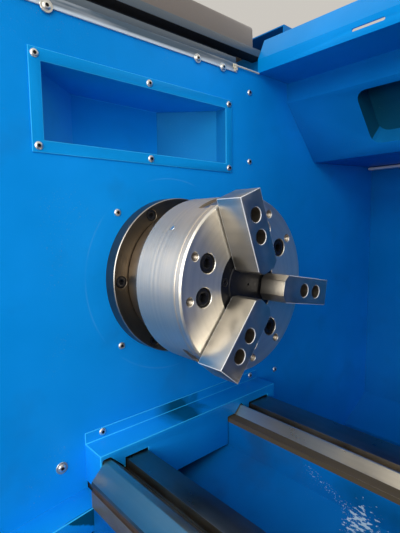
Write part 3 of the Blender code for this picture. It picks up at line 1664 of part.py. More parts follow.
def make_tailstock_handwheel():
    start = tail_left + tail_length + fit_gap
    end = start + wheel_width
    ring = wheel_radius - wheel_rim
    rim = turned("tailstock_handwheel", ((ring - wheel_rim, end), (ring + wheel_rim / 2, end),
                                         (wheel_radius, end - wheel_rim), (wheel_radius, start + wheel_rim),
                                         (ring + wheel_rim / 2, start + wheel_rim / 2),
                                         (ring - wheel_rim, start + wheel_rim / 2)), ring=True)
    hub = rod("wheel_hub", wheel_hub, (start, end + wheel_rim), facets=small_facets)
    fuse(rim, hub)
    for spoke in range(3):
        bar = rod("wheel_spoke_%d" % spoke, wheel_spoke, (wheel_hub / 2, ring), axis="Z",
                  centre=((start + end) / 2, 0), facets=8)
        bar.matrix_local = about_spindle(spoke * 2 * math.pi / 3)
        fuse(rim, bar)
    crank = turned("crank", ((0, end + crank_length), (crank_radius * 0.8, end + crank_length),
                             (crank_radius, end + crank_length * 0.8),
                             (crank_radius * 0.7, end - wheel_rim / 2),
                             (0, end - wheel_rim / 2)), centre=(0, ring), facets=screw_facets)
    fuse(rim, crank)
    return paint(rim, *dark_paint)


def make_clamp_lever():
    near = -tail_barrel - lever_boss_length - fit_gap
    far = near - lever_boss
    centre = (tail_left + lever_place, lever_height)
    hub = rod("clamp_lever", lever_boss, (far, near), axis="Y", centre=centre)
    middle = (near + far) / 2
    arm = rod("lever_arm", lever_radius, (0, lever_length), axis="Z", facets=screw_facets,
              end_radius=lever_radius * 0.7)
    leaning = shift(centre[0], middle, centre[1]) @ Matrix.Rotation(lever_lean, 4, "Y")
    knob = ball("lever_knob", lever_ball, (0, 0, lever_length + lever_ball / 2), facets=screw_facets)
    arm.matrix_local = leaning
    knob.matrix_local = leaning
    fuse(hub, arm, knob)
    return paint(hub, *dark_paint)


# Operator's console

def make_console_box():
    back = front_plane - fit_gap
    front = back - console_depth
    outline = ((back, console_foot), (front + console_chamfer, console_foot),
               (front, console_foot + console_chamfer), (front, console_top - console_brow / 2),
               (front + console_brow, console_top), (back, console_top))
    span = (console_left, console_left + console_width)
    box = soften(prism("console_box", [outline], span), tank_gauge)
    middle = console_left + console_width / 2
    wide, tall = screen_size
    top = console_top - screen_inset
    cut(box, block("screen_recess", (middle - wide / 2, middle + wide / 2),
                   (front - overrun, front + screen_depth), (top - tall, top)))
    keys = []
    first = middle - key_pitch * (key_columns - 1) / 2
    row_top = top - tall - key_pitch
    key = block("key", (-key_size / 2, key_size / 2), (front - key_height, front + key_height),
                (-key_size / 2, key_size / 2))
    for row in range(key_rows):
        for column in range(key_columns):
            keys.append(shift(x=first + column * key_pitch, z=row_top - row * key_pitch))
    fuse(box, group("console_keys", key, keys))
    for name, place in button_places().items():
        cut(box, rod(name + "_bore", button_bore, (front - overrun, front + button_bore_depth), axis="Y",
                     centre=place))
    return paint(box, *grey_paint)


def button_places():
    row = console_foot + console_chamfer + stop_radius * 1.6
    return {
        "emergency": (console_left + stop_radius * 2.5, row),
        "start": (console_left + stop_radius * 6, row),
        "pulse": (console_left + console_width - pulse_radius * 1.6, row + stop_radius / 2),
    }


def button(name, head_profile, place, facets=small_facets):
    front = console_front
    stem = button_bore - fit_gap
    profile = [(0, front + button_sink), (stem, front + button_sink)]
    profile += [(radius, front - along) for radius, along in head_profile]
    return turned(name, profile, axis="Y", centre=place, facets=facets)


def make_emergency_button():
    head = ((button_bore - fit_gap, stop_height * 0.45), (stop_radius * 0.8, stop_height * 0.5),
            (stop_radius, stop_height * 0.65), (stop_radius * 0.9, stop_height * 0.9),
            (stop_radius * 0.5, stop_height), (0, stop_height))
    return paint(button("emergency_button", head, button_places()["emergency"]), *red_plastic)


def make_start_button():
    head = ((button_bore - fit_gap, start_height * 0.5), (start_radius, start_height * 0.5),
            (start_radius, start_height * 0.9), (start_radius * 0.85, start_height), (0, start_height))
    return paint(button("start_button", head, button_places()["start"]), *green_plastic)


def make_pulse_handwheel():
    place = button_places()["pulse"]
    head = ((button_bore - fit_gap, fit_gap), (pulse_radius, fit_gap), (pulse_radius, pulse_height * 0.6),
            (pulse_radius * 0.9, pulse_height * 0.8), (0, pulse_height * 0.8))
    wheel = button("pulse_handwheel", head, place, facets=small_facets)
    front = console_front
    grip = rod("pulse_grip", crank_radius * 0.7, (front - pulse_height * 1.5, front - pulse_height * 0.5),
               axis="Y", centre=(place[0], place[1] + pulse_radius * 0.7), facets=screw_facets)
    fuse(wheel, grip)
    return paint(wheel, *black_oxide)


# Fixed structure
for make in (make_left_base, make_right_base, make_chip_tray, make_bed, make_headstock_casting,
             make_front_bearing, make_rear_bearing, make_bearing_cap, make_main_motor, make_headstock_wall,
             make_wall_recess, make_bed_cover, make_roof_channel, make_seal_strip, make_headstock_roof,
             make_headstock_shell, make_control_modules, make_rear_guard, make_right_wall, make_front_panel,
             make_lower_rail, make_upper_rail, make_work_lamp, make_z_servo_motor, make_coolant_unit,
             make_console_box, make_drive_belt):
    make()

# Moving pieces on their axes
spindle_axis = pivot("spindle_axis", (0, 0, 0), datum)
for make in (make_spindle, make_spindle_pulley, make_chuck_body, make_chuck_cover, make_chuck_cylinder,
             make_draw_tube):
    hang(make(), spindle_axis)

for jaw_index in range(jaw_count):
    jaw_axis = pivot("jaw_axis_%d" % (jaw_index + 1), (0, 0, 0), datum)
    for jaw_piece in (make_master_jaw(jaw_index), make_top_jaw(jaw_index)):
        hang(jaw_piece, jaw_axis)

motor_pivot = pivot("motor_axis", (motor_front, 0, motor_axis), datum)
hang(make_motor_pulley(), motor_pivot)

screw_pivot = pivot("screw_axis", (screw_left, screw_axis_y, screw_axis_z), datum)
hang(make_z_ballscrew(), screw_pivot)

carriage_pivot = pivot("carriage_slide", (saddle_centre, 0, saddle_top), datum)
for make in (make_saddle, make_x_servo_motor):
    hang(make(), carriage_pivot)

slide_pivot = pivot("cross_slide_way", (turret_x, turret_y, saddle_top), datum)
for make in (make_cross_slide, make_turret_base):
    hang(make(), slide_pivot)

turret_pivot = pivot("turret_axis", (turret_x, turret_y, 0), datum)
hang(make_turret_head(), turret_pivot)
for tool_index in range(tool_count):
    hang(make_tool(tool_index), turret_pivot)

tail_pivot = pivot("tailstock_way", (tail_left, 0, front_flat), datum)
hang(make_tailstock_body(), tail_pivot)

quill_pivot = pivot("quill_axis", (tail_left, 0, 0), datum)
for make in (make_tailstock_quill, make_live_centre, make_tailstock_handwheel):
    hang(make(), quill_pivot)

lever_pivot = pivot("lever_axis", (tail_left + lever_place, -tail_barrel, lever_height), datum)
hang(make_clamp_lever(), lever_pivot)

door_pivot = pivot("door_way", (door_rest_left, door_back, door_foot), datum)
for make in (make_sliding_door, make_door_window):
    hang(make(), door_pivot)

cabinet_pivot = pivot("cabinet_hinge", (*hinge_axis, 0), datum)
hang(make_cabinet_door(), cabinet_pivot)

console_pieces = {"emergency": make_emergency_button, "start": make_start_button,
                  "pulse": make_pulse_handwheel}
for button_name, button_place in button_places().items():
    button_pivot = pivot(button_name + "_axis", (button_place[0], console_front, button_place[1]), datum)
    hang(console_pieces[button_name](), button_pivot)

bpy.context.view_layer.update()
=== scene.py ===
import math

import bmesh
import bpy
import numpy as np
from mathutils import Matrix, Vector


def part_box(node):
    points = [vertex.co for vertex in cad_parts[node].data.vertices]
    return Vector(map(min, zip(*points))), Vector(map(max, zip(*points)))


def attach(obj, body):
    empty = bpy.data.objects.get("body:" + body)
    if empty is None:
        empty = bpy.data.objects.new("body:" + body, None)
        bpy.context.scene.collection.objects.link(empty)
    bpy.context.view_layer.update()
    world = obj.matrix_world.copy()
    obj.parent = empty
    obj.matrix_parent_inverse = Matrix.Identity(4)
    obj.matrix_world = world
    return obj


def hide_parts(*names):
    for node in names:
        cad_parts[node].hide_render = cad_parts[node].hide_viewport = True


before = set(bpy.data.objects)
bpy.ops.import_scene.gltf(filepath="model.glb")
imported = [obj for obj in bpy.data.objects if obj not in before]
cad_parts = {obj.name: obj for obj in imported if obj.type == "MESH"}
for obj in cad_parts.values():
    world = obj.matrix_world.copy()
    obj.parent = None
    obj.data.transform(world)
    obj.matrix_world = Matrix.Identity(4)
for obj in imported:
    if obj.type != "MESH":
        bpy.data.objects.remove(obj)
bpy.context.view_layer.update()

# Looks of a CNC turning lathe. Shapes are worked out in the machine's own places, in metres:
# x runs along the spindle from the chuck's front face, y to the back, z up from the spindle axis.
chuckLow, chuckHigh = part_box("chuck_body")
machineAt = Vector((chuckHigh.x, (chuckLow.y + chuckHigh.y) / 2, (chuckLow.z + chuckHigh.z) / 2))
scene = bpy.context.scene
turn = 2 * math.pi
quarter = turn / 4
sixth = turn / 6
overrun = 0.02  # how far a cutter reaches past what it cuts


def place(x=0.0, y=0.0, z=0.0):
    return Matrix.Translation((x, y, z))


# About the spindle, by an angle from +Y towards +Z
def aboutSpindle(angle):
    return Matrix.Rotation(angle, 4, "X")


# Shader maths

class Value:
    # A socket that takes + - * ** and abs, each of which adds Math nodes.
    def __init__(self, finish, socket):
        self.finish, self.socket = finish, socket

    def calc(self, kind, first, second):
        return self.finish.add("ShaderNodeMath", {"operation": kind}, {0: first, 1: second})

    def __add__(self, other):
        return self.calc("ADD", self, other)

    def __sub__(self, other):
        return self.calc("SUBTRACT", self, other)

    def __rsub__(self, other):
        return self.calc("SUBTRACT", other, self)

    def __mul__(self, other):
        return self.calc("MULTIPLY", self, other)

    def __pow__(self, other):
        return self.calc("POWER", self, other)

    def __abs__(self):
        return (self * self) ** 0.5

    __radd__ = __add__
    __rmul__ = __mul__


def socketNamed(sockets, name):
    if isinstance(name, int):
        return sockets[name]
    return next(s for s in sockets if name in (s.identifier, s.name))


class Finish:
    # One material: constants go straight on the shader, and add() makes every other node.
    def __init__(self, name, colour, roughness, metallic=0.0, **extras):
        self.material = bpy.data.materials.new(name)
        self.material.use_nodes = True
        self.tree = self.material.node_tree
        self.shader = self.tree.nodes["Principled BSDF"]
        self.set("Base Color", (*colour, 1))
        self.set("Roughness", roughness)
        self.set("Metallic", metallic)
        for socket, value in extras.items():
            self.set(socket.replace("_", " "), value)
        self.where = self.add("ShaderNodeTexCoord", {}, {}, "Object")

    def set(self, socket, value):
        if isinstance(value, Value):
            self.tree.links.new(value.socket, self.shader.inputs[socket])
        else:
            self.shader.inputs[socket].default_value = value

    def add(self, kind, settings, sockets, output=0):
        node = self.tree.nodes.new(kind)
        for name, value in settings.items():
            setattr(node, name, value)
        for name, value in sockets.items():
            socket = socketNamed(node.inputs, name)
            if isinstance(value, Value):
                self.tree.links.new(value.socket, socket)
            else:
                socket.default_value = value
        return Value(self, socketNamed(node.outputs, output))

    def moved(self, shift, scale=(1, 1, 1)):
        return self.add("ShaderNodeMapping", {"vector_type": "POINT"},
                        {"Vector": self.where, "Location": shift, "Scale": scale})

    def noise(self, scale, detail, stretch=None):
        vector = self.moved((0, 0, 0), stretch) if stretch else self.where
        return self.add("ShaderNodeTexNoise", {}, {"Vector": vector, "Scale": scale, "Detail": detail})

    # Places of the machine in a finish: x, y and z in metres from the chuck's front.
    def machineAxes(self):
        parts = self.add("ShaderNodeSeparateXYZ", {}, {"Vector": self.moved(tuple(-machineAt))})
        return [Value(self, output) for output in parts.socket.node.outputs]

    def fade(self, value, low, high):
        return self.add("ShaderNodeMapRange", {"clamp": True},
                        {"Value": value, "From Min": low, "From Max": high})

    # Noise that fades in from a low to a high level
    def patches(self, scale, detail, low, high, stretch=None):
        return self.fade(self.noise(scale, detail, stretch), low, high)

    def mix(self, share, first, second):
        colours = [(*c, 1) if isinstance(c, tuple) else c for c in (first, second)]
        return self.add("ShaderNodeMix", {"data_type": "RGBA"},
                        {"Factor_Float": share, "A_Color": colours[0], "B_Color": colours[1]}, "Result_Color")

    def bump(self, height, strength, distance):
        self.set("Normal", self.add("ShaderNodeBump", {}, {"Height": height, "Strength": strength,
                                                           "Distance": distance}))

    # Roughness that wanders about a level
    def sheen(self, scale, detail, spread, level):
        self.set("Roughness", self.noise(scale, detail) * spread + level)

    def grain(self, scale, detail, strength, distance):
        self.bump(self.noise(scale, detail), strength, distance)


def tinted(colour, share, lift=0.0):
    return tuple(min(1.0, c * share + lift) for c in colour)


# Finishes. Noises are given as scale and detail, and patches of noise with the levels that they
# fade between as well; a sheen adds its spread, and a grain its strength and depth.

enamelLook = {
    "tint": (0.03, 0.48, 0.95, 1), "coat": 0.01, "coatRoughness": 0.25, "dirt": 0.25, "gloss": 0.36,
    "cloud": (3.2, 4.0, 0.30, 0.72), "darkShare": 0.80, "pale": (1.10, 0.006),
    "film": (11.0, 6.0, 0.56, 0.74), "filmed": (0.55, 0.012), "grit": (620.0, 1.0, 0.70, 0.76),
    "gritPatch": (9.0, 3.0, 0.52, 0.66), "gritShare": 0.35, "gritColour": (0.30, 0.36, 0.40),
    "sheen": (26.0, 3.0, 0.14), "drop": 0.05, "peel": (430.0, 2.0), "wave": (60.0, 1.0), "waveShare": 0.8,
    "bump": (0.16, 0.0006),
}


def blueEnamel(name, colour, dirt=enamelLook["dirt"], gloss=enamelLook["gloss"], mark=None):
    e = enamelLook
    f = Finish(name, colour, gloss, Specular_Tint=e["tint"], Coat_Weight=e["coat"],
               Coat_Roughness=e["coatRoughness"])
    shade = f.mix(f.patches(*e["cloud"]), tinted(colour, e["darkShare"]), tinted(colour, *e["pale"]))
    shade = f.mix(f.patches(*e["film"]) * dirt, shade, tinted(colour, *e["filmed"]))
    grit = f.patches(*e["grit"]) * f.patches(*e["gritPatch"])
    shade = f.mix(grit * e["gritShare"], shade, e["gritColour"])
    f.set("Base Color", mark(f, shade) if mark else shade)
    f.sheen(*e["sheen"], gloss - e["drop"])
    f.bump(f.noise(*e["peel"]) + f.noise(*e["wave"]) * e["waveShare"], *e["bump"])
    return f.material


oldRing = {
    "radius": 0.1625, "width": (0.0016, 0.0004), "worn": (14.0, 3.0, 0.40, 0.60), "share": 0.20,
    "colour": (0.10, 0.42, 0.86),
}


# The faint ring that an earlier cap left on the wall: a thin band about one radius from the spindle.
def ringMark(f, shade):
    m = oldRing
    x, y, z = f.machineAxes()
    off = (y * y + z * z) ** 0.5 - m["radius"]
    band = f.fade(abs(off), *m["width"]) * f.patches(*m["worn"])
    return f.mix(band * m["share"], shade, m["colour"])


shadowAndDirtWedge = {
    "slope": 0.534, "rise": 0.4409, "ragged": (160.0, 3.0), "raggedness": 0.006, "edge": (-0.0012, 0.0012),
    "start": (-0.1295, -0.1275), "share": 0.9, "colour": (0.0, 0.045, 0.055),
}


# Painted shadow and oily dirt on the step beside the bed: a dark wedge that widens towards the bed under the
# step's edge.
def wedgeMark(f, shade):
    m = shadowAndDirtWedge
    x, y, z = f.machineAxes()
    lowEdge = y * m["slope"] + z + m["rise"] + (f.noise(*m["ragged"]) - 0.5) * m["raggedness"]
    wedge = f.fade(lowEdge, *m["edge"]) * f.fade(x, *m["start"])
    return f.mix(wedge * m["share"], shade, m["colour"])


oilSmear = {
    "wet": (14.0, 4.0, 0.46, 0.60), "stretch": (0.6, 1, 1), "top": (-0.246, -0.2435),
    "front": (-0.05, -0.01), "back": (0.085, 0.050), "share": 0.8, "colour": (0.0, 0.040, 0.055),
}


# A dark smear of oil along the cover's top
def smearMark(f, shade):
    m = oilSmear
    x, y, z = f.machineAxes()
    wet = f.patches(*m["wet"], m["stretch"]) * f.fade(z, *m["top"])
    return f.mix(wet * f.fade(y, *m["front"]) * f.fade(y, *m["back"]) * m["share"], shade, m["colour"])


scuffs = {
    "front": (-0.060, -0.040), "back": (0.0895, 0.0880), "white": (0.50, 0.64, 0.72),
    "centre": (0.138, 0.079, -0.327), "falloff": 7.0, "torn": (260.0, 6.0, (0.45, 1, 1)),
    "tornSpan": (0.430, 0.475), "tornShare": 0.85, "lineSlope": 0.45, "lineRise": 0.2719,
    "lineWidth": (0.009, 0.004), "lineStart": (0.03, 0.06), "specks": (480.0, 2.0, 0.62, 0.67),
    "speckShare": 0.7, "grime": (7.0, 5.0, 0.50, 0.68), "grimeShare": 0.55,
    "grimeColour": (0.002, 0.045, 0.095), "bareHeight": (-0.2810, -0.2800), "bareStart": (0.0865, 0.0875),
    "bareColour": (0.085, 0.065, 0.036),
}


# The chute between the ways: grime, a torn white scuff that thins out from its centre, specks along
# a slanting line above it, and bare brown metal above the painted edge.
def scuffMark(f, shade):
    m = scuffs
    x, y, z = f.machineAxes()
    atX, atY, atZ = m["centre"]
    inside = f.fade(y, *m["front"]) * f.fade(y, *m["back"])
    shade = f.mix(f.patches(*m["grime"]) * inside * m["grimeShare"], shade, m["grimeColour"])
    away = ((x - atX) ** 2 + (y - atY) ** 2 + (z - atZ) ** 2) ** 0.5
    torn = f.fade(f.noise(*m["torn"]) - away * m["falloff"], *m["tornSpan"])
    shade = f.mix(inside * torn * m["tornShare"], shade, m["white"])
    off = z + x * m["lineSlope"] + m["lineRise"]
    specks = f.patches(*m["specks"]) * f.fade(abs(off), *m["lineWidth"]) * f.fade(x, *m["lineStart"])
    shade = f.mix(inside * specks * m["speckShare"], shade, m["white"])
    return f.mix(f.fade(z, *m["bareHeight"]) * f.fade(y, *m["bareStart"]), shade, m["bareColour"])


paintLook = {
    "cloud": (2.4, 5.0, 0.30, 0.72), "shares": (0.88, 1.05), "sheen": (18.0, 3.0, 0.16), "drop": 0.06,
    "grain": (300.0, 2.0, 0.14, 0.0006), "coat": 0.06, "coatRoughness": 0.3,
}
roofLook = {**paintLook, "grain": (500.0, 2.0, 0.14, 0.0006)}
castLook = {
    "cloud": (7.0, 6.0, 0.32, 0.70), "shares": (0.78, 1.12), "sheen": (60.0, 3.0, 0.2), "drop": 0.1,
    "grain": (240.0, 5.0, 0.35, 0.0012),
}
plasticLook = {
    "cloud": (40.0, 4.0, 0.30, 0.70), "shares": (0.90, 1.00), "sheen": (120.0, 3.0, 0.12), "drop": 0.05,
    "grain": (900.0, 2.0, 0.06, 0.0003),
}
rubberLook = {
    "cloud": (40.0, 4.0, 0.30, 0.70), "shares": (1.00, 1.00), "sheen": (140.0, 4.0, 0.2), "drop": 0.12,
    "grain": (700.0, 3.0, 0.2, 0.0005),
}


# A finish that clouds between two shades of its colour
def clouded(look, name, colour, roughness, **extras):
    f = Finish(name, colour, roughness, **extras)
    dark, pale = look["shares"]
    f.set("Base Color", f.mix(f.patches(*look["cloud"]), tinted(colour, dark), tinted(colour, pale)))
    f.sheen(*look["sheen"], roughness - look["drop"])
    f.grain(*look["grain"])
    return f.material


def housePaint(name, colour, gloss=0.42, look=paintLook):
    return clouded(look, name, colour, gloss, Coat_Weight=look["coat"], Coat_Roughness=look["coatRoughness"])


turnedLook = {
    "detail": 3.0, "bandShare": 0.08, "bandDetail": 2.0, "bandSpan": (0.35, 0.65), "darkShare": 0.93,
    "spots": (34.0, 5.0, 0.52, 0.80), "bandSheen": 0.12, "sheen": (22.0, 4.0), "spread": 0.14, "drop": 0.13,
    "bandHeight": 0.5, "depth": 0.0002,
}


# Turned steel: marks run round the spindle, so they change along x and with the radius only.
def turnedSteel(name, colour, roughness, pitch=2600.0, strength=0.10, stain=(0.45, 0.36, 0.26), oil=0.3,
                metal=1.0, across=0.0):
    look = turnedLook
    f = Finish(name, colour, roughness, metal, Anisotropic=across)
    x, y, z = f.machineAxes()
    along = x + (y * y + z * z) ** 0.5
    rings, bands = [f.add("ShaderNodeTexNoise", {"noise_dimensions": "1D"},
                          {"W": along, "Scale": scale, "Detail": detail})
                    for scale, detail in ((pitch, look["detail"]),
                                          (pitch * look["bandShare"], look["bandDetail"]))]
    worn = f.mix(f.fade(bands, *look["bandSpan"]), tinted(colour, look["darkShare"]), colour)
    f.set("Base Color", f.mix(f.patches(*look["spots"]) * oil, worn, stain))
    f.set("Roughness", bands * look["bandSheen"] + f.noise(*look["sheen"]) * look["spread"]
          + (roughness - look["drop"]))
    f.bump(rings + bands * look["bandHeight"], strength, look["depth"])
    return f.material


groundLook = {
    "detail": 3.0, "streakShare": 0.09, "streakSpan": (0.3, 0.7), "darkShare": 0.86,
    "pool": (5.0, 0.42, 0.72), "streakSheen": 0.14, "sheen": (30.0, 4.0), "spread": 0.16, "drop": 0.14,
    "depth": 0.0002,
}


# Ground steel: fine straight marks along one direction; the stretch squeezes the noise across it.
def groundSteel(name, colour, roughness, stretch, scale=900.0, strength=0.08, stain=(0.34, 0.25, 0.15),
                oil=0.4, patch=9.0, metal=1.0):
    look = groundLook
    f = Finish(name, colour, roughness, metal)
    streak = f.noise(scale * look["streakShare"], look["detail"], stretch)
    shade = f.mix(f.fade(streak, *look["streakSpan"]), tinted(colour, look["darkShare"]), colour)
    f.set("Base Color", f.mix(f.patches(patch, *look["pool"]) * oil, shade, stain))
    f.set("Roughness", streak * look["streakSheen"] + f.noise(*look["sheen"]) * look["spread"]
          + (roughness - look["drop"]))
    f.bump(f.noise(scale, look["detail"], stretch), strength, look["depth"])
    return f.material


oxideLook = {
    "metal": 0.55, "rub": (180.0, 4.0, 0.58, 0.78), "rubShare": 0.35, "rubColour": (0.09, 0.085, 0.08),
    "sheen": (90.0, 3.0, 0.2), "drop": 0.08, "grain": (1500.0, 2.0, 0.08, 0.0002),
}


def blackOxide(name, colour, roughness):
    look = oxideLook
    f = Finish(name, colour, roughness, look["metal"])
    f.set("Base Color", f.mix(f.patches(*look["rub"]) * look["rubShare"], colour, look["rubColour"]))
    f.sheen(*look["sheen"], roughness - look["drop"])
    f.grain(*look["grain"])
    return f.material


stripLook = {
    "colour": (0.42, 0.55, 0.66), "roughness": 0.20, "clear": 0.25, "ior": 1.46,
    "milk": (42.0, 6.0, 0.44, 0.66, (1, 0.16, 2.4)), "milkShare": 0.75, "dark": (0.085, 0.140, 0.190),
    "milky": (0.58, 0.62, 0.65), "lowEdge": (0.3768, 0.3735), "white": (0.78, 0.88, 0.95),
    "sheen": (60.0, 3.0, 0.20, 0.10), "grain": (50.0, 2.0, 0.05, 0.0008),
}


# Clear strip seen against dark: milky streaks along it, white along its lower edge
def clearStrip(name):
    look = stripLook
    f = Finish(name, look["colour"], look["roughness"], Transmission_Weight=look["clear"], IOR=look["ior"])
    x, y, z = f.machineAxes()
    shade = f.mix(f.patches(*look["milk"]) * look["milkShare"], look["dark"], look["milky"])
    f.set("Base Color", f.mix(f.fade(z, *look["lowEdge"]), shade, look["white"]))
    f.sheen(*look["sheen"])
    f.grain(*look["grain"])
    return f.material


paneLook = {
    "colour": (0.62, 0.74, 0.76), "roughness": 0.05, "clear": 0.85, "ior": 1.49,
    "smudge": (16.0, 6.0, 0.5, 0.8), "spread": 0.10, "level": 0.03, "grain": (5.0, 2.0, 0.04, 0.002),
}


def windowPane(name):
    look = paneLook
    f = Finish(name, look["colour"], look["roughness"], Transmission_Weight=look["clear"], IOR=look["ior"])
    f.set("Roughness", f.patches(*look["smudge"]) * look["spread"] + look["level"])
    f.grain(*look["grain"])
    return f.material


print("finishes")
machineBlue = (0.0, 0.275, 0.790)
bluePaint = blueEnamel("blue_enamel", machineBlue)
blueCast = blueEnamel("blue_casting_enamel", (0.0, 0.170, 0.560), dirt=0.6, gloss=0.30)
chutePaint = blueEnamel("chute_enamel", (0.0, 0.140, 0.450), dirt=0.7, gloss=0.30, mark=scuffMark)
# Dark teal for inside the rear guard's pocket: painted shade.
pocketShadePaint = blueEnamel("pocket_painted_shade_enamel", (0.0, 0.070, 0.130), dirt=0.5)
wallPaint = blueEnamel("wall_enamel", (0.0, 0.305, 0.860), mark=ringMark)
coverPaint = blueEnamel("cover_enamel", machineBlue, dirt=0.5, mark=smearMark)
stepPaint = blueEnamel("step_enamel", machineBlue, dirt=0.4, mark=wedgeMark)
guardPaint = blueEnamel("guard_enamel", (0.0, 0.185, 0.560))
# A lighter copy of the blue for inside the wall recess: painted light against its shade.
recessLitPaint = blueEnamel("recess_lit_enamel", (0.0, 0.310, 0.790))
# A darker copy of the blue: painted shade, on the recess's slanted side and the pocket's floor.
shadePaint = blueEnamel("shaded_enamel", (0.0, 0.150, 0.400))
# A brighter copy of the blue for the rear guard's brow: painted light.
browLitPaint = blueEnamel("brow_painted_light_enamel", (0.0, 0.300, 0.820))
# A paler copy of the blue for rounded edges: a painted highlight.
edgeHighlightPaint = blueEnamel("painted_edge_highlight_enamel", (0.03, 0.46, 0.92))
greyPaint = housePaint("grey_enamel", (0.56, 0.58, 0.58))
darkPaint = housePaint("dark_enamel", (0.055, 0.058, 0.062), 0.45)
brownRoof = housePaint("roof_enamel", (0.20, 0.165, 0.140), 0.40, roofLook)
channelGrey = housePaint("channel_enamel", (0.090, 0.118, 0.140), 0.38)

chuckSteel = turnedSteel("turned_chuck_steel", (0.78, 0.675, 0.54), 0.47, strength=0.03, oil=0.08,
                         stain=(0.62, 0.53, 0.42), metal=0.92, across=0.78)
chuckFace = turnedSteel("faced_chuck_steel", (0.86, 0.81, 0.71), 0.36, 1500.0, 0.04, oil=0.12,
                        stain=(0.66, 0.54, 0.40), metal=0.90)
noseSteel = turnedSteel("bronzed_nose_steel", (0.70, 0.58, 0.44), 0.30, oil=0.5, stain=(0.30, 0.21, 0.13))
capSteel = turnedSteel("bronzed_cap_steel", (0.135, 0.112, 0.086), 0.40, 1900.0, 0.14, oil=0.55,
                       stain=(0.07, 0.055, 0.042))
capRim = turnedSteel("cap_rim_steel", (0.15, 0.145, 0.14), 0.42, 1900.0, 0.14, oil=0.3,
                     stain=(0.03, 0.028, 0.026))
zincSteel = turnedSteel("zinc_screw_steel", (0.80, 0.79, 0.73), 0.32, 900.0, 0.05, oil=0.25,
                        stain=(0.55, 0.45, 0.30), metal=0.88)

jawSteel = groundSteel("ground_jaw_steel", (0.61, 0.56, 0.48), 0.38, (0.06, 1, 1), strength=0.03, oil=0.10,
                       stain=(0.52, 0.43, 0.32), patch=16.0)
edgeSteel = groundSteel("bright_edge_steel", (0.93, 0.92, 0.90), 0.20, (1, 0.1, 1), oil=0.05)
# Near-white, barely metallic steel on the jaws' rounded edges: a painted highlight.
jawEdgeHighlight = groundSteel("painted_highlight_jaw_edge", (0.98, 0.96, 0.92), 0.30, (1, 0.1, 1), oil=0.02, metal=0.2)
capEdge = groundSteel("worn_cap_edge", (0.48, 0.45, 0.40), 0.34, (1, 0.1, 1), oil=0.2)
threadSteel = groundSteel("thread_steel", (0.60, 0.53, 0.43), 0.34, (1, 1, 1), 700.0, 0.1, oil=0.6)
wayBright = groundSteel("ground_way_steel", (0.87, 0.80, 0.66), 0.30, (0.015, 1, 1), oil=0.25,
                        stain=(0.26, 0.19, 0.115), patch=7.0, metal=0.88)
wayFlank = groundSteel("ground_flank_steel", (0.57, 0.51, 0.40), 0.30, (0.015, 1, 1), oil=0.2,
                       stain=(0.26, 0.19, 0.115), patch=7.0)
wayFront = groundSteel("milled_front_iron", (0.30, 0.245, 0.175), 0.50, (0.03, 1, 1), 500.0, 0.10,
                       oil=0.45, stain=(0.10, 0.075, 0.050), patch=12.0, metal=0.75)
wayBand = groundSteel("brown_band_iron", (0.105, 0.080, 0.045), 0.55, (0.03, 1, 1), 500.0, 0.10,
                      oil=0.4, stain=(0.040, 0.028, 0.016), patch=12.0, metal=0.2)
# The groove's dark brown is painted shade in the groove together with oily debris.
wayGrooveShade = groundSteel("groove_shade_and_oil_iron", (0.11, 0.070, 0.045), 0.55, (0.05, 1, 1), 500.0, 0.16,
                        oil=0.5, stain=(0.035, 0.024, 0.017), patch=40.0, metal=0.3)
wayFlat = groundSteel("scraped_way_iron", (0.30, 0.285, 0.26), 0.30, (0.02, 1, 1), oil=0.6,
                      stain=(0.11, 0.080, 0.052), patch=5.0)
wayDark = groundSteel("planed_way_iron", (0.27, 0.225, 0.165), 0.42, (0.03, 1, 1), 500.0, 0.16,
                      oil=0.7, stain=(0.075, 0.050, 0.030), patch=12.0)

boltBlack = blackOxide("black_oxide", (0.018, 0.018, 0.021), 0.36)
coverBlack = blackOxide("black_cover_oxide", (0.014, 0.014, 0.016), 0.33)
castIron = clouded(castLook, "cast_iron", (0.22, 0.235, 0.245), 0.55, metallic=0.15)
motorGrey = clouded(castLook, "motor_enamel", (0.10, 0.125, 0.15), 0.45, metallic=0.1)
redPlastic = clouded(plasticLook, "red_plastic", (0.62, 0.012, 0.010), 0.32)
greenPlastic = clouded(plasticLook, "green_plastic", (0.015, 0.36, 0.075), 0.32)
blackPlastic = clouded(plasticLook, "black_plastic", (0.020, 0.020, 0.022), 0.38)
keyPlastic = clouded(plasticLook, "key_plastic", (0.42, 0.44, 0.45), 0.42)
creamSealant = clouded(plasticLook, "cream_sealant", (0.72, 0.66, 0.50), 0.45)
lampCover = clouded(plasticLook, "lamp_cover", (0.80, 0.84, 0.84), 0.30)
screenGlass = clouded(plasticLook, "screen_glass", (0.010, 0.016, 0.024), 0.10, Coat_Weight=0.5,
                      Coat_Roughness=0.04)
blackRubber = clouded(rubberLook, "black_rubber", (0.022, 0.022, 0.023), 0.7)
stripClear = clearStrip("clear_strip")
panePlastic = windowPane("window_pane")


# Mesh making

meshLimits = {
    "merge": 0.000002, "slabMerge": 0.00001, "nodeMerge": 0.00002, "slabFlat": math.radians(0.4),
    "nodeFlat": math.radians(0.6), "dressedBevel": 42, "dressedShade": 38,
}


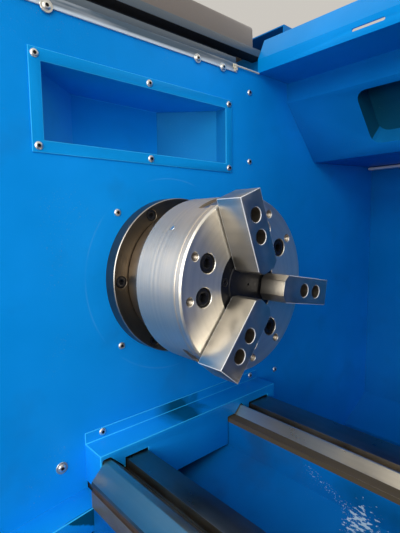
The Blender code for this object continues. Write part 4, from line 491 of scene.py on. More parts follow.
# Keeps a mesh in machine places as a piece of the object, riding on a body.
def keep(name, mesh, body, finishes, stands=None, angle=35):
    mesh.transform(Matrix.Translation(machineAt))
    piece = bpy.data.objects.new(name, mesh)
    scene.collection.objects.link(piece)
    marks = np.zeros(len(mesh.polygons), np.int32)
    if isinstance(finishes, list):
        mesh.polygons.foreach_get("material_index", marks)
    else:
        finishes = [finishes]
    mesh.materials.clear()
    for finish in finishes:
        mesh.materials.append(finish)
    mesh.polygons.foreach_set("material_index", marks)
    mesh.shade_smooth()
    mesh.set_sharp_from_angle(angle=math.radians(angle))
    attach(piece, body)
    if stands:
        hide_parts(stands)


def meshOf(points, faces, marks=None):
    mesh = bpy.data.meshes.new("surface")
    mesh.from_pydata(np.asarray(points, float).reshape(-1, 3).tolist(), [], [list(f) for f in faces])
    if marks is not None:
        mesh.polygons.foreach_set("material_index", np.asarray(marks, np.int32))
    return mesh


# Sets which of its finishes each face takes, by a rule on the faces' middles and normals.
def markedBy(mesh, rule):
    facts = []
    for name in ("center", "normal"):
        flat = np.zeros(len(mesh.polygons) * 3)
        mesh.polygons.foreach_get(name, flat)
        facts.append(flat.reshape(-1, 3))
    mesh.polygons.foreach_set("material_index", rule(*facts).astype(np.int32))
    return mesh


# Quads of a grid of rows by columns, closed round the columns
def gridFaces(rows, columns):
    row, column = np.meshgrid(np.arange(rows - 1), np.arange(columns), indexing="ij")
    ahead = (column + 1) % columns
    corner = [row * columns + column, row * columns + ahead, (row + 1) * columns + ahead,
              (row + 1) * columns + column]
    return np.stack([c.ravel() for c in corner], 1)


# A polyline with each corner rounded: the corner is replaced by a short quadratic curve
# p = (1-t)^2 a + 2t(1-t) corner + t^2 b, where a and b lie the radius away along both sides.
def rounded(points, radii, steps=4):
    points = np.asarray(points, float)
    radii = np.broadcast_to(np.asarray(radii, float), (len(points),))
    halfSide = 0.49
    t = np.linspace(0, 1, steps + 1)[:, None]
    out = [points[:1]]
    for before, corner, after, radius in zip(points, points[1:], points[2:], radii[1:]):
        if radius <= 0:
            out.append(corner[None])
            continue
        into, away = before - corner, after - corner
        reach = min(radius, halfSide * np.hypot(*into), halfSide * np.hypot(*away))
        a = corner + into / np.hypot(*into) * reach
        b = corner + away / np.hypot(*away) * reach
        out.append((1 - t) ** 2 * a + 2 * t * (1 - t) * corner + t ** 2 * b)
    return np.concatenate(out + [points[-1:]])


# Rings of points about X, (x, r cos u, r sin u), from pairs of r and x; r may change with u.
def lathed(rings, u, marks=None):
    radius = np.stack([r + 0 * u for r, x in rings])
    along = np.array([x for r, x in rings])[:, None] + 0 * u
    points = np.stack([along, radius * np.cos(u), radius * np.sin(u)], -1)
    return tidy(meshOf(points, gridFaces(len(rings), len(u)), marks))


def anglesOf(steps):
    return np.arange(steps) * turn / steps


# A surface of revolution about X from a profile of (radius, x), with its ends on the axis or,
# as a ring, joined to each other.
def turned(profile, steps=96, ring=False):
    profile = list(profile)
    return lathed(profile + profile[:1] if ring else profile, anglesOf(steps))


# Merges doubled points, makes flat faces whole if asked, and turns every face outwards.
def tidy(mesh, near=meshLimits["merge"], flat=None):
    build = bmesh.new()
    build.from_mesh(mesh)
    bmesh.ops.remove_doubles(build, verts=build.verts, dist=near)
    loose = [v for v in build.verts if not v.link_faces]
    bmesh.ops.delete(build, geom=loose, context="VERTS")
    if flat:
        bmesh.ops.dissolve_limit(build, angle_limit=flat, verts=build.verts, edges=build.edges)
    bmesh.ops.recalc_face_normals(build, faces=build.faces)
    build.to_mesh(mesh)
    build.free()
    return mesh


# A flat outline given thickness along an axis
def slab(outline, span, axis="X"):
    curve = bpy.data.curves.new("outline", "CURVE")
    curve.dimensions = "2D"
    curve.fill_mode = "BOTH"
    curve.extrude = (span[1] - span[0]) / 2
    spline = curve.splines.new("POLY")
    spline.points.add(len(outline) - 1)
    flatPoints = np.zeros((len(outline), 4))
    flatPoints[:, :2] = outline
    flatPoints[:, 3] = 1
    spline.points.foreach_set("co", flatPoints.ravel())
    spline.use_cyclic_u = True
    mesh = solid(bpy.data.objects.new("outline", curve))
    middle = (span[0] + span[1]) / 2
    mesh.transform({
        "X": Matrix(((0, 0, 1, middle), (1, 0, 0, 0), (0, 1, 0, 0), (0, 0, 0, 1))),
        "Y": Matrix(((1, 0, 0, 0), (0, 0, 1, middle), (0, 1, 0, 0), (0, 0, 0, 1))),
        "Z": Matrix(((1, 0, 0, 0), (0, 1, 0, 0), (0, 0, 1, middle), (0, 0, 0, 1))),
    }[axis])
    return tidy(mesh, meshLimits["slabMerge"], meshLimits["slabFlat"])


# The finished mesh of an object, which goes again with its helpers
def solid(holder, helpers=()):
    for one in (holder, *helpers):
        scene.collection.objects.link(one)
    bpy.context.view_layer.update()
    made = bpy.data.meshes.new_from_object(holder.evaluated_get(bpy.context.evaluated_depsgraph_get()))
    for one in (holder, *helpers):
        bpy.data.objects.remove(one)
    return made


def boxMesh(low, high):
    low, high = np.array(low), np.array(high)
    corners = np.array([[i & 1, (i >> 1) & 1, (i >> 2) & 1] for i in range(8)])
    faces = [(0, 2, 3, 1), (4, 5, 7, 6), (0, 1, 5, 4), (2, 6, 7, 3), (0, 4, 6, 2), (1, 3, 7, 5)]
    return meshOf(low + corners * (high - low), faces)


# Takes other meshes away, or adds them, one after another.
def carved(mesh, tools, operation="DIFFERENCE"):
    holder = bpy.data.objects.new("carving", mesh)
    helpers = [bpy.data.objects.new("tool", tool) for tool in tools]
    for helper in helpers:
        step = holder.modifiers.new("carve", "BOOLEAN")
        step.operation, step.object, step.solver = operation, helper, "EXACT"
    return solid(holder, helpers)


# Rounds every edge sharper than the limit in degrees.
def softened(mesh, width, segments=2, limit=35):
    holder = bpy.data.objects.new("softening", mesh)
    step = holder.modifiers.new("edges", "BEVEL")
    step.width, step.segments = width, segments
    step.limit_method, step.angle_limit = "ANGLE", math.radians(limit)
    step.use_clamp_overlap = True
    return solid(holder)


def joined(meshes):
    build = bmesh.new()
    for mesh in meshes:
        build.from_mesh(mesh)
    out = bpy.data.meshes.new("joined")
    build.to_mesh(out)
    build.free()
    return out


def copies(mesh, places):
    made = []
    for at in places:
        one = mesh.copy()
        one.transform(at)
        made.append(one)
    return joined(made)


# A copy of a CAD node in machine places, merged and with its flat faces made whole
def nodeCopy(node):
    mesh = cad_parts[node].data.copy()
    mesh.transform(Matrix.Translation(-machineAt))
    build = bmesh.new()
    build.from_mesh(mesh)
    bmesh.ops.remove_doubles(build, verts=build.verts, dist=meshLimits["nodeMerge"])
    bmesh.ops.dissolve_limit(build, angle_limit=meshLimits["nodeFlat"], verts=build.verts, edges=build.edges)
    clean = bpy.data.meshes.new(node)
    build.to_mesh(clean)
    build.free()
    if "custom_normal" in clean.attributes:
        clean.attributes.remove(clean.attributes["custom_normal"])
    return clean


# A node's own shape with its edges rounded, in a finish. Its piece takes the node's name in camel
# case, apart from these.
pieceNames = {"z_ballscrew": "feedScrew", "saddle": "carriageSaddle"}


def dressed(node, body, finish, edge):
    mesh = nodeCopy(node)
    if edge:
        mesh = softened(mesh, edge, limit=meshLimits["dressedBevel"])
    first, *rest = node.split("_")
    name = pieceNames.get(node, first + "".join(word.capitalize() for word in rest))
    keep(name, mesh, body, finish, node, meshLimits["dressedShade"])


# Fasteners

capHead = {
    "edgeShare": 0.08, "halfEdgeShare": 0.048, "rimShare": 0.12, "mouthShare": 1.04,
    "mouthDepthShare": 0.05, "leadShare": 0.12, "floorShare": 0.9, "pointShare": 0.25,
}
domeHead = {
    "sink": 0.0004, "socketShare": 0.46, "steps": 24, "footShare": 0.10, "arc": (0.15, 0.98, 6),
    "squeeze": 0.98, "swell": 1.1, "socketDepthShare": 0.80, "pointShare": 0.85, "washerHeightShare": 0.14,
    "washerEdgeShare": 0.75, "washerTopShare": 0.96,
}


# Radius of a hexagon's outline at angle u: its corner radius times cos 30 / cos(angle from a flat).
def hexagon(radius, u):
    return radius * math.cos(sixth / 2) / np.cos(u % sixth - sixth / 2)


# Socket head screw along -X, its head's top at x = 0: rings go from the foot of the head over its
# rounded rim to the socket's hexagon and down its walls.
def capScrew(head, height, socketShare, depthShare, steps=48):
    s = capHead
    u = anglesOf(steps)
    edge, halfEdge, deep = head * s["edgeShare"] * 2, head * s["halfEdgeShare"], -height * depthShare
    socket = hexagon(head * socketShare, u)
    return lathed([(0, -height), (head, -height), (head, -edge), (head - halfEdge, -halfEdge),
                   (head - edge, 0), (head * (socketShare + s["rimShare"]), 0),
                   (socket * s["mouthShare"], -head * s["mouthDepthShare"]),
                   (socket, -head * s["leadShare"]), (socket, deep), (socket * s["floorShare"], deep),
                   (0, deep - head * s["pointShare"])], u)


# Round-headed screw seated at x = 0: dome r = head cos v, x = height sin v, with a hexagon socket,
# whose faces are marked 1.
def domeScrew(head, height, washer=0.0):
    s = domeHead
    u = anglesOf(s["steps"])
    base = washer * s["washerHeightShare"]
    rings = [(0, -s["sink"])]
    if washer:
        rings += [(washer, -s["sink"]), (washer, base * s["washerEdgeShare"]),
                  (washer * s["washerTopShare"], base), (head, base)]
    else:
        rings += [(head, -s["sink"]), (head, height * s["footShare"])]
    rings += [(head * math.cos(v * s["squeeze"]), base + height * math.sin(v) * s["swell"])
              for v in np.linspace(*s["arc"])]
    top = rings[-1][1]
    socket = hexagon(head * s["socketShare"], u)
    rings += [(socket, top), (socket, top - height * s["socketDepthShare"]),
              (0, top - height * s["pointShare"])]
    inSocket = np.arange(len(rings) - 1) >= len(rings) - 3
    return lathed(rings, u, np.repeat(inSocket, s["steps"]))


# Chuck and its jaws

print("chuck")
chuck = {
    "radius": 0.125, "thickness": 0.098, "edge": 0.0025, "bore": 0.034, "steps": 192, "bend": 0.0005,
    "backBend": 0.0006, "groove": 0.0095, "grooveDepth": 0.0007, "grooveFloor": 0.0010, "seat": 0.0543,
    "seatDepth": 0.0083, "seatMouth": 0.0005, "slotLap": 0.0006, "slotMouth": 0.0004, "boltCircle": 0.0855,
    "boltSpread": math.radians(15.1), "counterbore": 0.0132, "counterboreDepth": 0.0175, "mouth": 0.0009,
    "headRadius": 0.012, "headLength": 0.016, "socketShares": (0.55, 0.6), "tapCircle": 0.1095,
    "tapRadius": 0.0057, "tapDepth": 0.018, "tapMouth": 0.0008, "threadStart": 0.0012,
    "threadPitch": 0.0015, "threadWave": 0.00025, "threadDrop": 0.0003, "threadPoints": 90,
    "threadSteps": 24, "plugAngle": math.radians(139.2), "plugX": -0.051, "plugRadius": 0.0042,
    "plugSink": 0.0012, "plugMouth": 0.0006, "plugOver": 0.01, "plugFace": 0.0002,
    "plugShares": (0.86, 0.97), "plugSteps": 32, "plugEdge": 0.0004, "tangent": 90, "flat": 0.98,
    "slant": 0.3, "frontDepth": 0.0005, "edgeDepth": 0.003, "rimDepth": 0.004, "boreStart": 0.0012,
}
jaws = {
    "count": 3, "first": math.radians(-9.6), "pitch": turn / 3, "neck": 0.030, "neckDepth": 0.015,
    "head": 0.044, "headDepth": 0.018, "inner": 0.0575, "outer": 0.1215, "proud": 0.0022, "gap": 0.0003,
    "width": 0.0392, "front": 0.0445, "far": 0.1328, "corner": 0.032, "nose": 0.0245, "noseWidth": 0.021,
    "bolts": (0.0735, 0.1035), "bore": 0.0098, "boreDepth": 0.026, "boreMouth": 0.0007, "boltHead": 0.009,
    "boltLength": 0.012, "socketShares": (0.52, 0.6), "boltSteps": 36, "edge": (0.0008, 2, 20),
    "masterEdge": 0.0004, "serration": 0.0015, "toothShare": 0.5, "rackShare": 0.6, "flat": 0.97,
    "edgeStart": 0.0007, "boreShare": 1.01, "boreTop": 0.0005, "boreFoot": 0.001,
}
jawAngles = [jaws["first"] + jaws["pitch"] * i for i in range(jaws["count"])]
sectorAngles = [angle + jaws["pitch"] / 2 for angle in jawAngles]


def facePlaces(circle):
    return [aboutSpindle(middle + side * chuck["boltSpread"]) @ place(y=circle)
            for middle in sectorAngles for side in (-1, 1)]


# A round cutter along X with a mouth that opens at 45 degrees at x = 0
def holeCutter(radius, depth, mouth, steps=48):
    return turned([(0, -depth), (radius, -depth), (radius, -mouth), (radius + mouth, 0),
                   (radius + mouth + overrun, overrun), (0, overrun)], steps)


# Section of the jaw slot up to a top: neck, then the wider head, with a chamfered mouth; (x, z) pairs
def slotSection(clear, mouth=0.0, top=overrun):
    neck, head = jaws["neck"] / 2 + clear, jaws["head"] / 2 + clear
    shoulder, floor = clear - jaws["neckDepth"], -jaws["neckDepth"] - jaws["headDepth"] - clear
    rim = [(top, -neck)]
    if mouth:
        rim = [(top, -neck - mouth - top), (0, -neck - mouth), (-mouth, -neck)]
    low = rim + [(shoulder, -neck), (shoulder, -head), (floor, -head)]
    return low + [(x, -z) for x, z in reversed(low)]


# Faces of the chuck's body: 0 side, 1 front with its rounded edge and the mouths, 2 inside the bores
def chuckFaces(middle, normal):
    c = chuck
    facing, x = normal[:, 0], middle[:, 0]
    reach = np.hypot(middle[:, 1], middle[:, 2])
    marks = np.zeros(len(x))
    marks[(facing > c["flat"]) & (x > -c["frontDepth"])] = 1
    marks[(np.abs(facing) > c["slant"]) & (facing < c["flat"]) & (x > -c["edgeDepth"])] = 1
    marks[(reach < c["radius"] - c["rimDepth"]) & (x < -c["boreStart"])] = 2
    return marks


def makeChuck():
    c = chuck
    r, edge, back, bend, backBend = c["radius"], c["edge"], -c["thickness"], c["bend"], c["backBend"]
    groove, floor = -c["groove"] - c["grooveDepth"], r - c["grooveDepth"]
    grooveEnd = groove - c["grooveFloor"]
    profile = rounded([(c["bore"], 0), (r - edge, 0), (r, -edge), (r, -c["groove"]), (floor, groove),
                       (floor, grooveEnd), (r, grooveEnd - c["grooveDepth"]), (r, back + edge),
                       (r - edge, back), (c["bore"], back)],
                      [0, bend, bend, 0, 0, 0, 0, backBend, backBend, 0], 3)
    tools = [holeCutter(c["seat"], c["seatDepth"], c["seatMouth"], 96)]
    for angle in jawAngles:
        tool = slab(slotSection(jaws["gap"], c["slotMouth"]), (c["seat"] - c["slotLap"], r + overrun), "Y")
        tool.transform(aboutSpindle(angle))
        tools.append(tool)
    tools.append(copies(holeCutter(c["counterbore"], c["counterboreDepth"], c["mouth"]),
                        facePlaces(c["boltCircle"])))
    tools.append(copies(holeCutter(c["tapRadius"], c["tapDepth"], c["tapMouth"], 32),
                        facePlaces(c["tapCircle"])))
    plugAt = aboutSpindle(c["plugAngle"]) @ place(c["plugX"], r, 0) @ Matrix.Rotation(quarter, 4, "Z")
    mouth = c["plugRadius"] + c["plugMouth"]
    plugSeat = turned([(0, -c["plugSink"]), (c["plugRadius"], -c["plugSink"]), (mouth, c["plugMouth"]),
                       (mouth, c["plugOver"]), (0, c["plugOver"])], c["plugSteps"])
    plugSeat.transform(plugAt)
    body = markedBy(carved(turned(profile, c["steps"], ring=True), tools + [plugSeat]), chuckFaces)
    # A texture space that is very long in x makes the surface's tangent run along the spindle.
    body.use_auto_texspace = False
    body.texspace_size = (c["tangent"], r, r)
    keep("chuckBody", body, "spindle_line", [chuckSteel, chuckFace, threadSteel], "chuck_body", angle=28)
    bolt = capScrew(c["headRadius"], c["headLength"], *c["socketShares"])
    top = place(c["headLength"] - c["counterboreDepth"])
    keep("chuckBolts", copies(bolt, [at @ top for at in facePlaces(c["boltCircle"])]), "spindle_line",
         boltBlack, angle=30)
    face, rim = [c["plugRadius"] * share for share in c["plugShares"]]
    plug = turned([(0, c["plugFace"]), (face, c["plugFace"]), (rim, -c["plugEdge"]),
                   (rim, -c["plugSink"]), (0, -c["plugSink"])], c["plugSteps"])
    plug.transform(plugAt @ place(-c["plugFace"]))
    keep("chuckPlug", plug, "spindle_line", zincSteel)
    # The thread in each tapped hole: a wave r = tap + crest cos(2 pi x / pitch) down the wall.
    depth = np.linspace(-c["threadStart"], -c["tapDepth"], c["threadPoints"])
    wall = c["tapRadius"] - c["threadDrop"] - c["threadWave"] * np.cos(turn * depth / c["threadPitch"])
    thread = turned([*zip(wall, depth), (c["tapRadius"], -c["tapDepth"]),
                     (c["tapRadius"], -c["threadStart"])], c["threadSteps"], ring=True)
    keep("chuckThreads", copies(thread, facePlaces(c["tapCircle"])), "spindle_line", threadSteel)


cover = {
    "radius": 0.054, "thickness": 0.008, "stepRadius": 0.0375, "step": 0.0012, "hole": 0.0016,
    "holeEdge": 0.0003, "bend": 0.0005, "steps": 128, "screwCircle": 0.0464, "screwRadius": 0.005,
    "screwLength": 0.0036, "screwGap": 0.0006, "screwMouth": 0.0004, "screwSink": 0.0003,
    "socketShares": (0.52, 0.7),
}


def makeCover():
    c = cover
    r, back, step, bend = c["radius"], -c["thickness"], c["step"], c["bend"]
    face = rounded([(c["hole"], back), (c["hole"], -c["holeEdge"]), (c["hole"] + c["holeEdge"], 0),
                    (c["stepRadius"], 0), (c["stepRadius"] + step, -step), (r, -step), (r, back)],
                   [0, 0, 0, bend, bend, bend, 0], 3)
    places = [aboutSpindle(angle) @ place(-step, c["screwCircle"]) for angle in sectorAngles]
    seats = copies(holeCutter(c["screwRadius"] + c["screwGap"], c["screwLength"], c["screwMouth"]), places)
    disc = carved(turned(face, c["steps"], ring=True), [seats])
    keep("chuckCover", disc, "spindle_line", coverBlack, "chuck_cover", angle=30)
    screw = capScrew(c["screwRadius"], c["screwLength"], *c["socketShares"])
    keep("coverScrews", copies(screw, [at @ place(-c["screwSink"]) for at in places]), "spindle_line",
         boltBlack)


# Faces of a top jaw: 0 ground, 1 the edges behind the nose, painted near-white as a highlight, 2 inside the
# bores
def jawFaces(middle, normal):
    j = jaws
    x, y, z = middle.T
    marks = np.zeros(len(x))
    marks[(np.abs(normal).max(1) < j["flat"]) & (y > j["corner"] + j["edgeStart"])] = 1
    inBore = np.min([np.hypot(y - at, z) for at in j["bolts"]], 0) < j["bore"] * j["boreShare"]
    foot = j["proud"] + j["gap"] + j["boreFoot"]
    marks[inBore & (x < j["front"] - j["boreTop"]) & (x > foot)] = 2
    return marks


def makeJaw(number, angle):
    j = jaws
    spin, body = aboutSpindle(angle), "jaw_%d" % number
    # Master jaw: the slot's section less a gap, with a front face cut in teeth across it.
    tooth, half = j["serration"] * j["toothShare"], j["neck"] / 2 - j["gap"]
    section = slotSection(-j["gap"], top=j["proud"] - tooth)
    master = softened(slab(section, (j["inner"], j["outer"]), "Y"), j["masterEdge"])
    count = int((j["outer"] - j["inner"]) / j["serration"])
    teeth = np.linspace(j["inner"], j["inner"] + count * j["serration"], count * 2 + 1)
    crest = j["proud"] - np.where(np.arange(count * 2 + 1) % 2 == 0, 0.0, tooth)
    low = j["proud"] - j["serration"] * j["rackShare"]
    rack = slab([*zip(crest, teeth), (low, teeth[-1]), (low, teeth[0])], (-half, half), "Z")
    master = joined([master, rack])
    master.transform(spin)
    keep("masterJaw%d" % number, master, body, jawSteel, "master_jaw_%d" % number, angle=30)
    half, nose = j["width"] / 2, j["noseWidth"] / 2
    outline = [(j["far"], -half), (j["far"], half), (j["corner"], half), (j["nose"], nose),
               (j["nose"], -nose), (j["corner"], -half)]
    top = softened(slab(outline, (j["proud"] + j["gap"], j["front"])), *j["edge"])
    places = [place(j["front"], at) for at in j["bolts"]]
    top = markedBy(carved(top, [copies(holeCutter(j["bore"], j["boreDepth"], j["boreMouth"]), places)]),
                   jawFaces)
    top.transform(spin)
    keep("topJaw%d" % number, top, body, [jawSteel, jawEdgeHighlight, threadSteel], "top_jaw_%d" % number, angle=25)
    bolt = capScrew(j["boltHead"], j["boltLength"], *j["socketShares"], j["boltSteps"])
    floor = j["front"] - j["boreDepth"] + j["boltLength"]
    heads = copies(bolt, [spin @ place(floor, at) for at in j["bolts"]])
    keep("jawBolts%d" % number, heads, body, boltBlack)


makeChuck()
makeCover()
for number, angle in enumerate(jawAngles, 1):
    makeJaw(number, angle)


# Spindle nose and bearing cap

print("spindle nose")
nose = {
    "radius": 0.105, "front": -0.0983, "back": -0.1485, "edge": 0.0012, "journal": 0.079, "relief": 0.0004,
    "sink": 0.0002, "seat": 0.002, "groove": (-0.1120, -0.1128, -0.1145, -0.1153), "backEdge": 0.001,
    "backRim": 0.0006, "backGap": 0.0001, "bend": 0.0004, "grooveBend": 0.0002, "steps": 160,
}
cap = {
    "radius": 0.129, "face": -0.150, "back": -0.1733, "bore": 0.080, "boreEdge": 0.001, "edge": 0.0012,
    "boreBend": 0.0005, "bend": 0.0004, "steps": 160, "circle": 0.116, "count": 6, "head": 0.0084,
    "headLength": 0.009, "headGap": 0.0007, "headSink": 0.0004, "seat": 0.009, "seatMouth": 0.0006,
    "socketShares": (0.5, 0.55), "rimDepth": 0.0004, "rimShare": 0.9, "wornShares": (1.2, 1.1),
    "flat": 0.98,
}


def makeNose():
    n = nose
    keep("spindleTube", nodeCopy("spindle"), "spindle_line", noseSteel, "spindle", angle=30)
    r, front, back, bend = n["radius"], n["front"], n["back"], n["bend"]
    outer, inner = r + n["relief"], r - n["relief"]
    first, second, third, last = n["groove"]
    ring = rounded([(n["journal"], front - n["seat"]), (r - n["edge"], front - n["sink"]),
                    (outer, front - n["edge"]), (outer, first), (inner, second), (inner, third),
                    (outer, last), (outer, back + n["backEdge"]), (r - n["backRim"], back - n["backGap"]),
                    (n["journal"], back - n["backGap"])],
                   [0, bend, bend, n["grooveBend"], 0, 0, n["grooveBend"], bend, bend, 0], 3)
    keep("spindleNose", turned(ring, n["steps"], ring=True), "spindle_line", noseSteel)


# Faces of the cap: 0 front, 1 rim, 2 the worn edge between them
def capFaces(middle, normal):
    c = cap
    x, reach = middle[:, 0], np.hypot(middle[:, 1], middle[:, 2])
    inward, back = (c["edge"] * share for share in c["wornShares"])
    rim = (reach > c["radius"] - c["rimDepth"]) & (x < c["face"] - c["edge"] * c["rimShare"])
    worn = (reach > c["radius"] - inward) & (x > c["face"] - back) & (np.abs(normal[:, 0]) < c["flat"])
    return np.where(worn, 2, np.where(rim, 1, 0))


def makeCap():
    c = cap
    r, bore, face = c["radius"], c["bore"], c["face"]
    profile = rounded([(bore, face - c["boreEdge"]), (bore + c["boreEdge"], face), (r - c["edge"], face),
                       (r, face - c["edge"]), (r, c["back"]), (bore, c["back"])],
                      [0, c["boreBend"], c["bend"], c["bend"], 0, 0], 3)
    places = [aboutSpindle(i * turn / c["count"]) @ place(face, c["circle"]) for i in range(c["count"])]
    seats = copies(holeCutter(c["head"] + c["headGap"], c["seat"], c["seatMouth"]), places)
    ring = markedBy(carved(turned(profile, c["steps"], ring=True), [seats]), capFaces)
    keep("bearingCap", ring, "machine", [capSteel, capRim, capEdge], "bearing_cap", angle=30)
    bolt = capScrew(c["head"], c["headLength"], *c["socketShares"])
    keep("capBolts", copies(bolt, [at @ place(-c["headSink"]) for at in places]), "machine", boltBlack)


makeNose()
makeCap()


# Headstock wall, recess and bed cover

print("wall")
wall = {
    "face": -0.1736, "square": 0.105, "field": 0.250, "head": 0.0058, "height": 0.0026, "washer": 0.0088,
    "plainShares": ((0.80, 1.368), (1.146, -0.968), (0.80, 0.836)), "washeredShares": ((-0.844, -1.062),),
    "gauge": 0.0015, "filler": ((-0.1915, -0.3535), (-0.1720, -0.235)), "headReach": 0.0066,
    "headHeight": (0.00003, 0.006), "twist": 0.61, "twistByY": 5, "recessMouth": (-0.2137, 0.1310),
    "recessHeight": (0.1995, 0.3005), "flange": 0.0165, "inset": 0.0085, "flangeFace": -0.1713,
    "recessEdge": (0.0009, 3, 25), "shadeSlant": -0.3, "shadeDepth": 0.004, "coverFace": -0.1713,
    "coverEdge": (0.0012, 3, 40), "coverScrews": ((-0.1451, -0.2328), (0.1999, -0.2328)),
}


# Takes the low-poly screw heads off a copied sheet, so that finer ones can sit there.
def withoutHeads(mesh, face, places):
    low, high = (face + height for height in wall["headHeight"])
    build = bmesh.new()
    build.from_mesh(mesh)
    gone = [v for v in build.verts if low < v.co.x < high
            and min(math.hypot(v.co.y - y, v.co.z - z) for y, z in places) < wall["headReach"]]
    bmesh.ops.delete(build, geom=gone, context="VERTS")
    openEdges = [e for e in build.edges if e.is_boundary]
    bmesh.ops.holes_fill(build, edges=openEdges, sides=0)
    bmesh.ops.dissolve_limit(build, angle_limit=meshLimits["nodeFlat"], verts=build.verts, edges=build.edges)
    bmesh.ops.recalc_face_normals(build, faces=build.faces)
    build.to_mesh(mesh)
    build.free()
    return mesh


# Screws at (y, z) places on a face, each turned a little differently so that no two sockets line up
def screwsOn(name, face, places, washer=0.0):
    head = domeScrew(wall["head"], wall["height"], washer)
    spots = [place(face, y, z) @ Matrix.Rotation(wall["twist"] * i + wall["twistByY"] * y, 4, "X")
             for i, (y, z) in enumerate(places)]
    keep(name, copies(head, spots), "machine", [zincSteel, boltBlack], angle=32)


# Paler edges (2), a painted highlight: the faces that a fold's or a corner's rounding made; other marks come
# first.
def highlightedEdges(other=None, low=0.22, nearFlat=0.033):
    def rule(middle, normal):
        marks = other(middle, normal) if other else np.zeros(len(middle))
        size = np.sort(np.abs(normal), 1)
        return np.where((marks == 0) & (size[:, 1] > low) & (size[:, 2] < 1 - nearFlat), 2, marks)
    return rule


# The recess's slanted side lies in shade (1).
def shadedSide(middle, normal):
    behind = middle[:, 0] < wall["face"] - wall["shadeDepth"]
    return np.where((normal[:, 1] < wall["shadeSlant"]) & behind, 1, 0)


def makeWall():
    w = wall
    squares = [(y, z) for y in (-w["square"], w["square"]) for z in (-w["square"], w["square"])]
    plain, washered = [[(y * w["field"], z * w["field"]) for y, z in w[shares]]
                       for shares in ("plainShares", "washeredShares")]
    sheet = withoutHeads(nodeCopy("headstock_wall"), w["face"], squares + plain + washered)
    (y0, z0), (y1, z1) = w["filler"]
    sheet = carved(sheet, [boxMesh((w["face"] - w["gauge"], y0, z0), (w["face"], y1, z1))], "UNION")
    keep("headstockWall", sheet, "machine", wallPaint, "headstock_wall", angle=30)
    screwsOn("wallScrews", w["face"], squares + plain)
    screwsOn("wallWasherScrews", w["face"], washered, w["washer"])
    (y0, y1), (z0, z1) = w["recessMouth"], w["recessHeight"]
    inset = w["flange"] - w["inset"]
    places = [(y, z) for y in (y0 - inset, (y0 + y1) / 2, y1 + inset) for z in (z0 - inset, z1 + inset)]
    pocket = withoutHeads(nodeCopy("wall_recess"), w["flangeFace"], places)
    pocket = markedBy(softened(pocket, *w["recessEdge"]), highlightedEdges(shadedSide))
    keep("wallRecess", pocket, "machine", [recessLitPaint, shadePaint, edgeHighlightPaint], "wall_recess", angle=40)
    screwsOn("recessScrews", w["flangeFace"], places)
    hood = withoutHeads(nodeCopy("bed_cover"), w["coverFace"], w["coverScrews"])
    hood = markedBy(softened(hood, *w["coverEdge"]), highlightedEdges())
    keep("bedCover", hood, "machine", [coverPaint, shadePaint, edgeHighlightPaint], "bed_cover", angle=40)
    screwsOn("coverScrewsOuter", w["coverFace"], w["coverScrews"])


makeWall()


# Strip, channel and roof rim over the wall

print("strip and roof")
topEdge = {
    "face": -0.1708, "screws": ((-0.203, 0.3715), (0.0608, 0.3715), (0.123, 0.3715)), "washer": 0.007568,
    "stripEdge": (0.0005, 2, 40), "channelEdge": (0.0007, 2, 40), "rubber": (0.3988, 0.4155),
    "rodRadius": 0.0016, "rodY": (0.150, 0.223), "rodZ": 0.382, "rodBend": 0.0006, "rodSteps": 20,
    "dabAt": (0.0004, 0.006, -0.003), "dab": 0.006, "dabFlatShare": 0.38, "dabGrid": (40, 21),
    "dabWaves": (0.22, 0.14),
}


# The dab of sealant at the strip's end: a ball whose radius is
# dab (1 + big sin(3u + 4v) sin v + small cos(5u - 3v) sin v), flattened against the strip.
def sealantDab():
    t = topEdge
    columns, rows = t["dabGrid"]
    u, v = np.meshgrid(anglesOf(columns), np.linspace(0, math.pi, rows))
    big, small = t["dabWaves"]
    swell = t["dab"] * (1 + (big * np.sin(3 * u + 4 * v) + small * np.cos(5 * u - 3 * v)) * np.sin(v))
    ball = np.stack([swell * np.cos(v) * t["dabFlatShare"], swell * np.sin(v) * np.cos(u),
                     swell * np.sin(v) * np.sin(u)], -1)
    at = np.array((t["face"], t["rodY"][0], t["rodZ"])) + t["dabAt"]
    return tidy(meshOf(at + ball, gridFaces(rows, columns)))


def makeTopEdge():
    t = topEdge
    strip = withoutHeads(nodeCopy("seal_strip"), t["face"], t["screws"])
    keep("sealStrip", softened(strip, *t["stripEdge"]), "machine", stripClear, "seal_strip", angle=35)
    screwsOn("stripScrews", t["face"], t["screws"][1:], t["washer"])
    screwsOn("stripWasherScrew", t["face"], t["screws"][:1], wall["washer"])
    r, (start, end) = t["rodRadius"], t["rodY"]
    rod = turned(rounded([(0, start), (r, start), (r, end), (0, end)], t["rodBend"]), t["rodSteps"])
    rod.transform(place(t["face"] + r, 0, t["rodZ"]) @ Matrix.Rotation(quarter, 4, "Z"))
    keep("sealRod", rod, "machine", creamSealant)
    keep("sealantDab", sealantDab(), "machine", creamSealant, angle=60)

    def bands(middle, normal):
        low, high = t["rubber"]
        return np.where((middle[:, 2] > low) & (middle[:, 2] < high), 1, 0)

    channel = markedBy(softened(nodeCopy("roof_channel"), *t["channelEdge"]), bands)
    keep("roofChannel", channel, "machine", [channelGrey, blackRubber], "roof_channel", angle=40)
    dressed("headstock_roof", "machine", brownRoof, 0.0)


makeTopEdge()


# Bed

